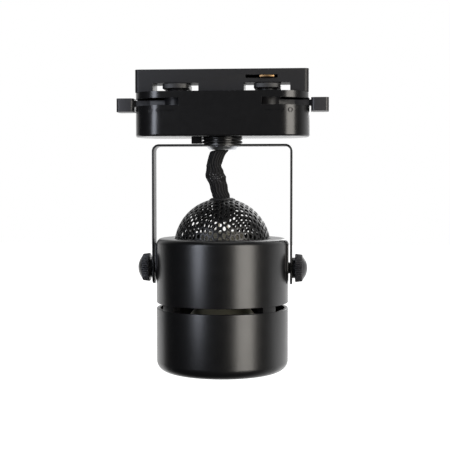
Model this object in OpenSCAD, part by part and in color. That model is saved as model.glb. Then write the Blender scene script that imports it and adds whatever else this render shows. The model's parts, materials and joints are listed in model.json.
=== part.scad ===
// Track spotlight: an adapter that locks into a lighting track, a swivelling yoke and a tilting
// cylindrical head with a reflector lamp. Millimetres. +Z is up, the track runs along X, and the
// origin is on the pan axis in the plane where the adapter seats against the track.

/* [Track insert] */
// Length of the block that enters the track
insert_len = 99; // [94:0.5:110]
// Width of the block that enters the track
insert_w = 17.5; // [15.5:0.1:19]
// Height of the block above the seat
insert_h = 13; // [11:0.1:16]
// Corner radius of the block, seen from above
insert_corner_r = 2.5; // [1:0.1:4]
// Height of the windows that the lock wings turn in
window_h = 5.3; // [4.9:0.1:6]
// Height of each contact slot's floor above the seat
slot_floor = 7.7; // [7:0.1:9]
// Height of each contact slot
slot_h = 1.8; // [1.4:0.1:2.4]

/* [Casing] */
// Length of the casing over its round ends
casing_len = 100; // [98:0.5:116]
// Width of the casing, twice the radius of its ends
casing_w = 34; // [30:0.5:42]
// Height of the casing below the seat
casing_h = 25.3; // [22:0.1:31]
// Wall of the casing
casing_wall = 2; // [1.5:0.1:2.6]
// Thickness of the seat plate that closes the casing
plate_t = 2; // [1.5:0.1:2.4]
// Radius on the casing's lower edge
casing_edge_r = 1.2; // [0.4:0.1:1.9]

/* [Latches] */
// Distance of each latch axis from the pan axis
latch_x = 26; // [25:0.1:28]
// Radius of the latch hub
hub_r = 7.8; // [6.5:0.1:9]
// Radius of the spindle where it turns in the seat plate
spindle_r = 5.8; // [4.6:0.1:6.8]
// Length of the lock wing
wing_len = 25; // [20:0.1:25.5]
// Width of the lock wing
wing_w = 15; // [12:0.1:15.4]
// Corner radius of the lock wing, seen from above
wing_corner_r = 5; // [2:0.1:6]
// Thickness of the lock wing
wing_t = 2.7; // [2:0.1:3]
// Gap between the seat and the lock wing, which takes the lip of the track
lip_gap = 2; // [1.5:0.1:2.1]
// Thickness of the lever's arm
arm_t = 3.4; // [2.6:0.1:3.8]
// Half width of the lever's arm
arm_half_w = 2.3; // [1.8:0.1:3]
// Length of the finger pad past the end of the casing
pad_len = 10.1; // [8:0.1:13]
// Width of the finger pad
pad_w = 11; // [8:0.1:14]
// Height of the finger pad
pad_h = 7.7; // [5:0.1:8.4]
// Length of the contact tongue from the latch axis
tongue_len = 11.5; // [10.4:0.1:11.8]
// Width of the contact tongue
tongue_w = 8.3; // [7:0.1:8.6]
// Thickness of the contact tongue
tongue_t = 1; // [0.7:0.1:1.2]

/* [Swivel] */
// Radius of the boss under the casing
boss_r = 11.6; // [10.5:0.1:13]
// Height of the boss
boss_h = 3.9; // [3:0.1:5]
// Outer radius of the hollow nipple that the yoke turns on
nipple_r = 5; // [4.2:0.05:6]
// Bore radius of the nipple
nipple_bore_r = 3.5; // [2.8:0.05:3.7]
// Radius of the nut under the yoke
swivel_nut_r = 9.2; // [7.5:0.1:10.5]

/* [Yoke] */
// Width of the yoke strip
strip_w = 10; // [8:0.1:13]
// Thickness of the yoke strip
strip_t = 1.2; // [1:0.1:2]
// Outer radius of the yoke's two bends
bend_r = 4; // [2.5:0.1:6]
// Drop from the top of the yoke to the tilt axis
yoke_drop = 71; // [68:0.5:86]
// Length of each arm below the tilt axis
arm_tail = 9.5; // [7:0.1:12]

/* [Head] */
// Radius of the cylindrical head
head_r = 37.9; // [36:0.1:46]
// Wall of the head's castings
head_wall = 2; // [1.6:0.1:2.6]
// Height of the rim above the tilt axis
rim_up = 17.1; // [15:0.1:21]
// Height of the rear housing
housing_h = 36.9; // [34:0.1:45]
// Vent gap between the rear housing and the front ring
vent_gap = 3.1; // [2:0.1:5]
// Height of the front ring
ring_h = 36.2; // [34:0.1:44]
// Outer radius at the top edge of the rear housing
rim_fillet = 2.8; // [1.5:0.1:4]
// Outer radius at the lower edge of the front ring
ring_fillet = 6; // [3:0.1:7]
// Angle of each rib from the front or the back
rib_angle = 48.7; // [35:0.1:60]
// Width of each rib, in degrees
rib_span = 15; // [10:0.5:20]
// Width of the flat pads that the tilt joint bears on
flat_w = 16; // [13:0.1:20]
// How far the flat pads stand proud of the cylinder
flat_proud = 0.2; // [0.1:0.1:1]

/* [Mesh dome] */
// Radius of the mesh dome
dome_r = 27.8; // [25:0.1:29]
// Depth of the dome's centre below the rim
dome_sink = 4.9; // [3:0.1:8]
// Wall of the dome
dome_wall = 0.8; // [0.5:0.1:1.2]
// Outer radius of the rubber grommet in the dome
grommet_r = 7.6; // [7:0.1:9]

/* [Lamp] */
// Radius of the lamp's rim
lamp_r = 25; // [24:0.1:25]
// Length of the lamp from its face to its base
lamp_len = 46; // [44:0.5:49]
// Depth of the lamp's face above the lower edge of the front ring
lamp_recess = 21.4; // [18:0.1:24]
// Distance of each lamp pin from the lamp's axis
pin_x = 5; // [4:0.1:6]
// Radius of the ceramic lampholder
holder_r = 12.5; // [11:0.1:14]
// Height of the ceramic lampholder
holder_h = 14; // [12:0.1:16]

/* [Knobs] */
// Radius of the tilt screws
screw_r = 2; // [1.5:0.05:2.5]
// Largest radius of the knurled rim
knob_r = 8.25; // [7:0.05:10]
// Length of the knurled rim along the axis
knob_rim_l = 4.3; // [3:0.1:6]
// Length of the hub between the yoke and the rim
knob_hub_l = 1.6; // [1:0.1:3]
// Height of the knob's domed end
knob_dome_h = 2.7; // [1.5:0.1:4]
// Number of grooves round each knob
knurls = 42; // [24:2:48]

/* [Hidden] */
$fn = 64;
// running clearance on radius, and the gap between faces that turn on each other
run = 0.05;
face_gap = 0.05;
// clearance of a screw or a pin in a still part
still = 0.05;
// how far a cutting shape runs past the face that it cuts
cut = 1;

// ---- places along Z
plate_bottom = -plate_t;
casing_bottom = -casing_h;
floor_top = casing_bottom + casing_wall;
boss_bottom = casing_bottom - boss_h;
yoke_top = boss_bottom - 2 * face_gap;
yoke_under = yoke_top - strip_t;
pivot_z = yoke_top - yoke_drop;
rim_z = pivot_z + rim_up;
housing_bottom = rim_z - housing_h;
ring_top = housing_bottom - vent_gap;
ring_bottom = ring_top - ring_h;
lamp_face = ring_bottom + lamp_recess;
lamp_base = lamp_face + lamp_len;
dome_z = rim_z - dome_sink;

// ---- latch
arm_top = -4.1;
arm_bottom = arm_top - arm_t;
hub_top = plate_bottom - face_gap;
wing_bottom = lip_gap;
tongue_bottom = slot_floor + 0.4;
slot_end_gap = 0.7;
slot_side_gap = 1.85;
slot_back_gap = 0.4;
tongue_top = tongue_bottom + tongue_t;
wing_key = 5.6;
pin_r = 2.75;
arm_taper_l = 15.5;
pad_start = casing_len / 2 + 0.8 - latch_x;
arm_root_half_w = 5.4;
contact_screw_r = 1.2;
contact_head_r = 2.2;
contact_head_h = 1.4;
// space left round the contact screw's head and round each lamp pin
head_room = 0.6;
screw_tip = arm_bottom - 0.8;
spring_top = screw_tip - 0.3;
spring_t = 0.5;
spring_len = 13;
spring_w = 5;
post_r = 4;
slot_arm_gap = 0.4;
// how far the finger pad stands above the arm
pad_rise = 1.1;
pad_corner_r = 2;
window_w = wing_len + 1.1;

// ---- casing screws: [x, y]
case_screw_r = 1.25;
case_screw_head_r = 2.3;
case_screw_len = 9;
case_screw_head_h = 1.1;
case_screw_sink = 1.2;
case_post_r = 2.8;
case_screw_y = casing_w / 2 - casing_wall - case_post_r;
case_screws = [
    [latch_x + 2, case_screw_y],
    [-latch_x - 2, case_screw_y],
    [7, -case_screw_y],
    [-7, -case_screw_y]
];

// ---- swivel
nipple_top = floor_top + 8;
swivel_nut_t = 1.8;
// length of the nipple below the yoke
nipple_out = swivel_nut_t + 0.3;
nipple_bottom = yoke_under - nipple_out;
thrust_r = nipple_r + 3.6;
spring_washer_t = 0.6;
stop_washer_t = 1;
stop_tab_w = 1.4;
stop_tab_r = thrust_r + 2.6;
stop_washer_z = floor_top + spring_washer_t + 2 * face_gap;
locknut_t = 3;
lug_w = 5.2;
lug_reach = 17.6;
lug_depth = boss_h - 0.3;
// how far the casing's stop stands above the stop washer's seat
stop_rise = 2.5;
// the boss has a core, with two rings round it
boss_core_r = boss_r - 1;
boss_ring_seat = 0.1;
boss_ring_gap = 0.5;
boss_ring_h = (boss_h - 2 * boss_ring_gap) / 2;
locknut_r = nipple_r + 2.6;
swivel_nut_draft = 1.6;

// ---- tilt joint
flat_x = head_r + flat_proud;
spacer_t = 0.9;
spacer_r = screw_r + 1.2;
arm_in = flat_x + spacer_t + 2 * face_gap;
arm_out = arm_in + strip_t;
insert_r = screw_r + 1.1;
insert_l = 5;
insert_back = 0.6;
boss_in_r = insert_r + 1.8;
knob_in = arm_out + face_gap;
knob_rim_in = knob_in + knob_hub_l;
knob_rim_out = knob_rim_in + knob_rim_l;
knob_hub_r = knob_r - 2.25;
knob_cap_r = knob_r - 1.35;
knob_draft = 0.55;
knurl_r = 0.38;

// ---- inside the head
inner_r = head_r - head_wall;
top_t = 2;
// fillet inside the rear housing's top corner
corner_fillet = 2;
dome_hole_r = sqrt(dome_r * dome_r - (dome_sink - top_t) * (dome_sink - top_t)) + 0.25;
dome_flange_r = dome_hole_r + 2.4;
dome_flange_t = 0.8;
dome_flange_z = rim_z - top_t - dome_flange_t - face_gap;
grommet_neck_r = grommet_r - 1.3;
grommet_lip_r = grommet_r - 0.4;
grommet_bore_r = grommet_neck_r - 1.1;
grommet_seat_z = dome_z + sqrt(dome_r * dome_r - grommet_neck_r * grommet_neck_r) + still;
grommet_top = grommet_seat_z + 0.85;
grommet_depth = 2.8;
tab_t = 3.2;
tab_h = 11;
ledge_r = inner_r - 5;
ledge_t = 2;
ledge_top = housing_bottom - vent_gap - tab_h;
mouth_r = head_r - ring_fillet - 1.4;
rib_screw_r = 1.2;
rib_screw_l = 8;
rib_screw_head_r = 1.5;
rib_screw_head_h = 1.4;
rib_screw_at = inner_r - tab_t / 2 - 0.2;
rib_angles = [rib_angle, -rib_angle, 180 - rib_angle, 180 + rib_angle];

// ---- lamp, lampholder and bracket
// how far the lampholder laps over the lamp's base
holder_lap = 2;
holder_bottom = lamp_base - holder_lap;
holder_top = holder_bottom + holder_h;
lamp_neck_r = 9.8;
lamp_neck_l = 12;
lamp_rim_h = 3.5;
lamp_wall = 1.4;
lens_t = 1.6;
reflector_in = [5, 10];
reflector_up = [5.4, 12];
pin_head_r = 2.3;
pin_neck_r = 1.2;
pin_l = 7;
pin_head_h = 2.4;
// length of each pin inside the lamp's base
pin_in = 2.8;
capsule_r = 4.2;
capsule_l = 15.7;
bracket_t = 1.2;
bracket_w = 14;
bracket_top = holder_bottom - face_gap;
bracket_screw_r = 1.25;
bracket_post_r = 2.9;
// how far each bracket post runs into the top plate
post_lap = 0.2;
bracket_head_r = 2.4;
bracket_head_h = 1.6;
// length of each bracket screw in its post
bracket_screw_in = 4.5;
bracket_screw_x = flat_x - insert_l - insert_back - bracket_head_r - 0.4;
// length of the bracket past each screw, which stays clear of the bosses behind the tilt joint
bracket_end = bracket_head_r;
ear_r = 2.9;
ear_y = holder_r + 2.4;
ear_h = 3;
holder_screw_r = 1.2;
holder_screw_head_r = 1.9;
holder_screw_head_h = 1.4;
bracket_eye_r = ear_y + ear_r;
lead_x = 4;
lead_socket_h = 4;
inner_sleeve_end = holder_top + 6;
collar_gap = 0.6;
collar_r = lamp_r + collar_gap;
collar_t = 1;
collar_flange_r = rib_screw_at - 1.2 - tab_t / 2;
clip_wire_r = 0.6;
clip_ring_r = collar_r - clip_wire_r - still;
clip_z = lamp_face - clip_wire_r - 0.1;

// ---- lead in its braided sleeve, from the swivel nut to the grommet: [x, y, z]
sleeve_w = 9.8;
sleeve_d = 6;
sleeve_sides = 12;
sleeve_top_z = nipple_bottom - 0.3;
sleeve_end_in = 0.6;
sleeve_route = [
    [-1.8, 0, 0], [-2.8, 0, 2.4], [-3.7, 0, 5], [-4.6, 0, 8.2], [-4.6, 0, 11], [-3.8, 0, 14],
    [-3, 0, 17], [-2, 0, 20], [-1.2, 0, 23], [-0.6, 0, 25.8], [-0.2, 0, 28]
];
wire_r = 0.9;
wire_sides = 8;

// ================================================================ shared shapes

// A rectangle with round corners, centred on the origin.
module round_rect(l, w, r) {
    square([l - 2 * r, w], center = true);
    square([l, w - 2 * r], center = true);
    for (x = [-1, 1], y = [-1, 1])
        translate([x * (l / 2 - r), y * (w / 2 - r)]) circle(r);
}

// A slot shape with full round ends, centred on the origin.
module stadium(l, w) {
    square([l - w, w], center = true);
    for (x = [-1, 1]) translate([x * (l - w) / 2, 0]) circle(w / 2);
}

// Half of a stadium solid's section, with a rounded lower edge: x runs out from the middle.
module edge_section(half_w, h, r) {
    translate([0, -h]) {
        translate([0, r]) square([half_w, h - r]);
        square([half_w - r, h]);
        translate([half_w - r, r]) intersection() {
            circle(r);
            translate([0, -r]) square([r, r]);
        }
    }
}

// A stadium block from z = 0 down to -h with its lower edge rounded.
module stadium_block(l, w, h, r) {
    for (s = [0, 1]) mirror([s, 0, 0])
        translate([(l - w) / 2, 0, 0]) rotate([0, 0, -90])
            rotate_extrude(angle = 180) edge_section(w / 2, h, r);
    for (s = [0, 1]) mirror([0, s, 0])
        translate([-(l - w) / 2, 0, 0]) rotate([90, 0, 90])
            linear_extrude(l - w) edge_section(w / 2, h, r);
}

// A flat ring standing on z = 0.
module washer(r, bore, t) {
    difference() {
        cylinder(r = r, h = t);
        translate([0, 0, -cut]) cylinder(r = bore, h = t + 2 * cut);
    }
}

// A pan-head screw along Z: the seat under its head is z = 0, and the head stands above it.
module pan_screw(r, l, head_r, head_h) {
    translate([0, 0, -l]) cylinder(r = r, h = l);
    difference() {
        cylinder(r = head_r, h = head_h);
        for (a = [0, 90]) rotate([0, 0, a])
            translate([-head_r * 0.6, -head_r * 0.1, head_h * 0.5])
                cube([head_r * 1.2, head_r * 0.2, head_h]);
    }
}

// Turns a shape that stands along Z to stand along X, outwards on one side of the tilt axis.
module along_x(side) {
    translate([0, 0, pivot_z]) rotate([0, side * 90, 0]) children();
}

// Direction of the segment that starts at point i, turned a quarter turn in the XZ plane.
function quarter_turn(points, i) =
    let (d = points[i + 1] - points[i]) [-d[2], 0, d[0]] / norm(d);

// Half of the width direction at point i, stretched so that each segment stays a true prism.
function mitre(points, i) =
    i == 0 ? quarter_turn(points, 0) :
    i == len(points) - 1 ? quarter_turn(points, i - 1) :
    let (sum = quarter_turn(points, i - 1) + quarter_turn(points, i)) 2 * sum / (sum * sum);

// A tube of flattened section, swept along points that lie in the XZ plane. Its rings are level,
// or mitred where the route runs sideways.
module swept(points, half_w, half_d, sides, level = true) {
    rings = len(points);
    ring_points = [
        for (r = [0 : rings - 1]) for (i = [0 : sides - 1])
            points[r] + [0, half_d * sin(360 * i / sides), 0]
                + half_w * cos(360 * i / sides) * (level ? [1, 0, 0] : mitre(points, r))
    ];
    wall_faces = [
        for (r = [0 : rings - 2]) for (i = [0 : sides - 1])
            [r * sides + i, r * sides + (i + 1) % sides,
             (r + 1) * sides + (i + 1) % sides, (r + 1) * sides + i]
    ];
    first_end = [for (i = [sides - 1 : -1 : 0]) i];
    last_end = [for (i = [0 : sides - 1]) (rings - 1) * sides + i];
    polyhedron(points = ring_points, faces = concat(wall_faces, [first_end, last_end]));
}

// ================================================================ adapter

module lever_slot() {
    slot_top = arm_top + slot_arm_gap;
    slot_depth = arm_t + 2 * slot_arm_gap;
    for (s = [-1, 1]) translate([0, 0, slot_top - slot_depth]) {
        inner_x = latch_x - arm_half_w - slot_arm_gap;
        translate([s > 0 ? inner_x : -casing_len, -casing_w, 0])
            cube([casing_len - inner_x, casing_w + arm_half_w + slot_arm_gap, slot_depth]);
    }
}

module adapter_casing() color("#1f1f20") difference() {
    union() {
        difference() {
            stadium_block(casing_len, casing_w, casing_h, casing_edge_r);
            translate([0, 0, floor_top])
                linear_extrude(casing_h)
                    stadium(casing_len - 2 * casing_wall, casing_w - 2 * casing_wall);
            lever_slot();
        }
        translate([0, 0, boss_bottom]) cylinder(r = boss_core_r, h = boss_h + casing_wall);
        translate([-lug_reach, -lug_w / 2, casing_bottom - lug_depth])
            cube([lug_reach - boss_r - still, lug_w, lug_depth + casing_wall / 2]);
        for (s = [-1, 1]) translate([s * latch_x, 0, floor_top - casing_wall / 2])
            cylinder(r = post_r, h = spring_top - spring_t - floor_top + casing_wall / 2);
        for (p = case_screws) translate([p[0], p[1], floor_top - casing_wall / 2])
            cylinder(r = case_post_r, h = plate_bottom - floor_top + casing_wall / 2);
        translate([-stop_tab_w / 2, thrust_r + 0.4, floor_top - casing_wall / 2])
            cube([stop_tab_w, stop_tab_r - thrust_r, stop_washer_z - floor_top + stop_rise]);
    }
    translate([0, 0, boss_bottom - cut]) cylinder(r = nipple_r + run, h = boss_h + 4 * cut);
    for (p = case_screws) translate([p[0], p[1], plate_bottom - case_screw_len - cut])
        cylinder(r = case_screw_r + still, h = case_screw_len + 2 * cut);
}

// The lower ring leaves a groove above the yoke.
module boss_rings() color("#141415") for (i = [0, 1])
    translate([0, 0, casing_bottom - boss_ring_seat - boss_ring_h
            - i * (boss_ring_h + boss_ring_gap)])
        washer(boss_r, boss_core_r + still, boss_ring_h);

module track_insert() color("#242425") difference() {
    union() {
        translate([0, 0, plate_bottom])
            linear_extrude(plate_t)
                stadium(casing_len - 2 * casing_wall - 2 * still,
                    casing_w - 2 * casing_wall - 2 * still);
        linear_extrude(insert_h) round_rect(insert_len, insert_w, insert_corner_r);
    }
    for (s = [-1, 1]) translate([s * latch_x, 0, 0]) {
        translate([-window_w / 2, -insert_w, 0]) cube([window_w, 2 * insert_w, window_h]);
        translate([0, 0, plate_bottom - cut])
            cylinder(r = spindle_r + run, h = plate_t + 2 * cut);
        translate([0, 0, window_h - cut])
            cylinder(r = pin_r + run, h = slot_floor - window_h + 2 * cut);
        translate([0, 0, slot_floor])
            cylinder(r = contact_head_r + head_room, h = insert_h);
    }
    // each slot leaves the tongue free from where it points now to where the released latch takes it
    for (s = [0, 1]) translate([s ? -latch_x : latch_x, 0, slot_floor]) mirror([0, s, 0])
        translate([-tongue_len - slot_end_gap, -insert_w, 0])
            cube([tongue_len + slot_end_gap + tongue_w / 2 + slot_side_gap,
                insert_w + tongue_w / 2 + slot_back_gap, slot_h]);
    for (p = case_screws) translate([p[0], p[1], plate_bottom]) {
        translate([0, 0, -cut]) cylinder(r = case_screw_r + still, h = plate_t + 2 * cut);
        translate([0, 0, plate_t - case_screw_sink])
            cylinder(r = case_screw_head_r + still, h = case_screw_sink + cut);
    }
}

module casing_screws() color("#5c5c5e") for (p = case_screws)
    translate([p[0], p[1], -case_screw_sink])
        pan_screw(case_screw_r, case_screw_len, case_screw_head_r, case_screw_head_h);

// leaf contacts that bear on the ends of the contact screws
module contact_springs() color("#c79a4e") for (s = [-1, 1])
    translate([s * (latch_x - spring_len / 2 + post_r), 0, spring_top - spring_t / 2])
        cube([spring_len, spring_w, spring_t], center = true);

// the two wires from the leaf contacts down into the hollow nipple
module adapter_wires() color("#b9b3a6") for (s = [-1, 1])
    swept([
        [s * (latch_x - 8), 0, spring_top - spring_t - 0.3],
        [s * (latch_x - 8.2), 0, spring_top - spring_t - 2],
        [s * (latch_x - 10.5), 0, spring_top - spring_t - 3.4],
        [s * (nipple_r + 5), 0, nipple_top + 2.9],
        [s * (nipple_r + 1), 0, nipple_top + 2.2],
        [s * 2.2, 0, nipple_top + 1.2],
        [s * 1.5, 0, nipple_top - 1],
        [s * 1.3, 0, nipple_top - 7]
    ], wire_r, wire_r, wire_sides, level = false);

// ================================================================ latches

// A latch lever that points along +X. Its spindle carries the lock wing and the contact.
module lever() difference() {
    union() {
        translate([0, 0, arm_bottom]) cylinder(r = hub_r, h = hub_top - arm_bottom);
        translate([0, 0, hub_top]) cylinder(r = spindle_r, h = wing_bottom - hub_top);
        translate([-wing_key / 2, -wing_key / 2, wing_bottom - cut])
            cube([wing_key, wing_key, wing_t + cut]);
        cylinder(r = pin_r, h = tongue_bottom - still);
        translate([0, 0, arm_bottom]) linear_extrude(arm_t) polygon([
            [0, -arm_root_half_w], [arm_taper_l, -arm_half_w],
            [pad_start + 1, -arm_half_w], [pad_start + 1, arm_half_w],
            [arm_taper_l, arm_half_w], [0, arm_root_half_w]
        ]);
        translate([pad_start, 0, arm_top + pad_rise - pad_h])
            linear_extrude(pad_h)
                translate([pad_len / 2, 0]) round_rect(pad_len, pad_w, pad_corner_r);
    }
    translate([0, 0, arm_bottom - cut])
        cylinder(r = contact_screw_r + still, h = insert_h - arm_bottom + cut);
}

// A lock wing lying along Y, with the square hole that keys it to the spindle.
module lock_wing() difference() {
    translate([0, 0, wing_bottom]) linear_extrude(wing_t) intersection() {
        circle(wing_len / 2);
        round_rect(wing_w, wing_len, wing_corner_r);
    }
    translate([-wing_key / 2 - still, -wing_key / 2 - still, wing_bottom - cut])
        cube([wing_key + 2 * still, wing_key + 2 * still, wing_t + 2 * cut]);
}

// A contact tongue that points along -Y.
module contact_tongue() difference() {
    translate([0, 0, tongue_bottom]) linear_extrude(tongue_t) {
        circle(tongue_w / 2);
        intersection() {
            circle(tongue_len);
            translate([-tongue_w / 2, -tongue_len]) square([tongue_w, tongue_len]);
        }
    }
    translate([0, 0, tongue_bottom - cut])
        cylinder(r = contact_screw_r + still, h = tongue_t + 2 * cut);
}

module contact_screw() translate([0, 0, tongue_top + still])
    pan_screw(contact_screw_r, tongue_top + still - screw_tip, contact_head_r, contact_head_h);

module left_lever() color("#1b1b1c") translate([-latch_x, 0, 0]) rotate([0, 0, 180]) lever();
module right_lever() color("#1b1b1c") translate([latch_x, 0, 0]) lever();
module left_lock_wing() color("#2a2a2b") translate([-latch_x, 0, 0]) lock_wing();
module right_lock_wing() color("#2a2a2b") translate([latch_x, 0, 0]) lock_wing();
module left_contact() color("#c8973f")
    translate([-latch_x, 0, 0]) rotate([0, 0, 180]) contact_tongue();
module right_contact() color("#c8973f") translate([latch_x, 0, 0]) contact_tongue();
module left_contact_screw() color("#c8973f") translate([-latch_x, 0, 0]) contact_screw();
module right_contact_screw() color("#c8973f") translate([latch_x, 0, 0]) contact_screw();

// ================================================================ yoke and swivel

// The quarter bend between the bar and the arm on the +X side.
module yoke_bend() translate([arm_out - bend_r, 0, yoke_top - bend_r]) rotate([90, 0, 0])
    translate([0, 0, -strip_w / 2]) linear_extrude(strip_w) intersection() {
        difference() {
            circle(bend_r);
            circle(bend_r - strip_t);
        }
        square(bend_r);
    }

// One arm on the +X side, seen along X: a strip with a full round end.
module yoke_arm() translate([arm_in, 0, pivot_z]) rotate([90, 0, 90]) linear_extrude(strip_t)
    difference() {
        union() {
            translate([-strip_w / 2, -(arm_tail - strip_w / 2)])
                square([strip_w, yoke_drop + arm_tail - strip_w / 2 - bend_r]);
            translate([0, -(arm_tail - strip_w / 2)]) circle(strip_w / 2);
        }
        circle(screw_r + run);
    }

module yoke() color("#161617") {
    difference() {
        union() {
            translate([-(arm_out - bend_r), -strip_w / 2, yoke_under])
                cube([2 * (arm_out - bend_r), strip_w, strip_t]);
            translate([0, 0, yoke_under]) cylinder(r = boss_r, h = strip_t);
        }
        translate([0, 0, yoke_under - cut])
            cylinder(r = nipple_r + still, h = strip_t + 2 * cut);
    }
    for (s = [0, 1]) mirror([s, 0, 0]) {
        yoke_bend();
        yoke_arm();
    }
}

module pan_nipple() color("#b8b8ba") translate([0, 0, nipple_bottom])
    washer(nipple_r, nipple_bore_r, nipple_top - nipple_bottom);

module spring_washer() color("#9a9a9c") translate([0, 0, floor_top + face_gap])
    washer(thrust_r, nipple_r + still, spring_washer_t);

// The tab meets the casing's stop at the end of the pan range.
module stop_washer() color("#8d8d90") translate([0, 0, stop_washer_z]) {
    washer(thrust_r, nipple_r + still, stop_washer_t);
    translate([-stop_tab_w / 2, -stop_tab_r, 0])
        cube([stop_tab_w, stop_tab_r - thrust_r + 1, stop_washer_t]);
}

module nipple_locknut() color("#a5a5a8")
    translate([0, 0, stop_washer_z + stop_washer_t + face_gap]) difference() {
        cylinder(r = locknut_r, h = locknut_t, $fn = 6);
        translate([0, 0, -cut]) cylinder(r = nipple_r + still, h = locknut_t + 2 * cut);
    }

module swivel_nut() color("#b0b0b2")
    translate([0, 0, yoke_under - face_gap - swivel_nut_t]) difference() {
        cylinder(r1 = swivel_nut_r - swivel_nut_draft, r2 = swivel_nut_r, h = swivel_nut_t);
        translate([0, 0, -cut]) cylinder(r = nipple_r + still, h = swivel_nut_t + 2 * cut);
    }

// The route is stretched so that it always ends inside the grommet.
module cable_sleeve() color("#121213") {
    route_len = sleeve_route[len(sleeve_route) - 1][2];
    drop = sleeve_top_z - (grommet_top - sleeve_end_in);
    swept([for (p = sleeve_route) [p[0], p[1], sleeve_top_z - p[2] * drop / route_len]],
        sleeve_w / 2, sleeve_d / 2, sleeve_sides);
}

// ================================================================ head

// The part of a ring between two radii that spans some degrees each side of angle 0.
module ring_sector(r_in, r_out, h, span) {
    rotate([0, 0, -span / 2]) rotate_extrude(angle = span)
        translate([r_in, 0]) square([r_out - r_in, h]);
}

module housing_section() {
    translate([inner_r, housing_bottom]) square([head_wall, housing_h - rim_fillet]);
    translate([dome_hole_r, rim_z - top_t]) square([head_r - rim_fillet - dome_hole_r, top_t]);
    translate([head_r - rim_fillet, rim_z - rim_fillet]) intersection() {
        circle(rim_fillet);
        square(rim_fillet);
    }
    translate([inner_r - corner_fillet, rim_z - top_t - corner_fillet]) difference() {
        square(corner_fillet + 1);
        circle(corner_fillet);
    }
}

module flat_pad(side) scale([side, 1, 1])
    translate([inner_r - 1, 0, pivot_z]) rotate([90, 0, 90]) linear_extrude(flat_x - inner_r + 1) {
        circle(flat_w / 2);
        translate([-flat_w / 2, 0]) square([flat_w, rim_up - rim_fillet]);
    }

module rear_housing() color("#1c1c1d") difference() {
    union() {
        rotate_extrude($fn = 128) housing_section();
        difference() {
            for (s = [-1, 1]) flat_pad(s);
            translate([0, 0, housing_bottom]) cylinder(r = inner_r, h = housing_h - top_t);
        }
        for (s = [-1, 1]) along_x(s)
            translate([0, 0, flat_x - insert_l - insert_back])
                cylinder(r = boss_in_r, h = insert_l - 0.2);
        for (a = rib_angles) rotate([0, 0, a - 90]) {
            translate([0, 0, ring_top]) ring_sector(inner_r - 0.5, head_r, vent_gap + 0.5, rib_span);
            translate([0, 0, ledge_top + still])
                ring_sector(inner_r - tab_t, inner_r - 0.1, housing_bottom - ledge_top + 2, rib_span);
        }
        for (s = [-1, 1]) translate([s * bracket_screw_x, 0, bracket_top + face_gap])
            cylinder(r = bracket_post_r, h = rim_z - top_t + post_lap - bracket_top);
    }
    for (s = [-1, 1]) {
        along_x(s) translate([0, 0, flat_x - insert_l - 2])
            cylinder(r = insert_r + still, h = insert_l + 4);
        translate([s * bracket_screw_x, 0, bracket_top - cut])
            cylinder(r = bracket_screw_r + still, h = bracket_screw_in + 1.5 + cut);
    }
    for (a = rib_angles) rotate([0, 0, a - 90])
        translate([rib_screw_at, 0, ledge_top - cut])
            cylinder(r = rib_screw_r + still, h = rib_screw_l + cut);
}

module ring_section() {
    mouth_t = 2;
    inner_fillet = ring_fillet - head_wall;
    translate([inner_r, ring_bottom + ring_fillet]) square([head_wall, ring_h - ring_fillet]);
    translate([head_r - ring_fillet, ring_bottom + ring_fillet]) difference() {
        intersection() {
            circle(ring_fillet);
            translate([0, -ring_fillet]) square(ring_fillet);
        }
        circle(inner_fillet);
    }
    translate([mouth_r, ring_bottom])
        square([head_r - ring_fillet - mouth_r + 0.01, mouth_t]);
    translate([ledge_r, ledge_top - ledge_t]) square([inner_r - ledge_r + 0.5, ledge_t]);
}

module front_ring() color("#1c1c1d") difference() {
    rotate_extrude($fn = 128) ring_section();
    for (a = rib_angles) rotate([0, 0, a - 90])
        translate([rib_screw_at, 0, ledge_top - ledge_t - cut])
            cylinder(r = rib_screw_r + still, h = ledge_t + 2 * cut);
}

module rib_screws() color("#6a6a6d") for (a = rib_angles) rotate([0, 0, a - 90])
    translate([rib_screw_at, 0, ledge_top - ledge_t - still]) rotate([180, 0, 0])
        pan_screw(rib_screw_r, rib_screw_l - 0.5, rib_screw_head_r, rib_screw_head_h);

module pivot_inserts() color("#c08d3c") for (s = [-1, 1]) along_x(s)
    translate([0, 0, flat_x - insert_l]) washer(insert_r, screw_r + run, insert_l - still);

module mesh_dome() color("#2b2b2c") difference() {
    union() {
        intersection() {
            translate([0, 0, dome_z]) difference() {
                sphere(dome_r);
                sphere(dome_r - dome_wall);
            }
            translate([0, 0, dome_flange_z]) cylinder(r = dome_r + cut, h = 2 * dome_r);
        }
        translate([0, 0, dome_flange_z])
            washer(dome_flange_r, dome_hole_r - dome_wall - 1, dome_flange_t);
    }
    for (s = [-1, 1]) translate([s * bracket_screw_x, 0, dome_flange_z - cut])
        cylinder(r = bracket_post_r + 0.2, h = dome_flange_t + 2 * cut);
    translate([0, 0, dome_z]) cylinder(r = grommet_neck_r + still, h = 2 * dome_r);
}

// A rubber grommet that grips the edge of the hole in the dome.
module dome_grommet() color("#101010") difference() {
    lip_z = grommet_seat_z - grommet_depth;
    union() {
        translate([0, 0, grommet_seat_z]) cylinder(r = grommet_r, h = grommet_top - grommet_seat_z);
        translate([0, 0, lip_z]) cylinder(r = grommet_neck_r, h = grommet_depth + cut / 2);
        translate([0, 0, lip_z]) cylinder(r = grommet_lip_r, h = 1);
    }
    translate([0, 0, dome_z]) cylinder(r = grommet_bore_r, h = 2 * dome_r);
}

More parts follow.
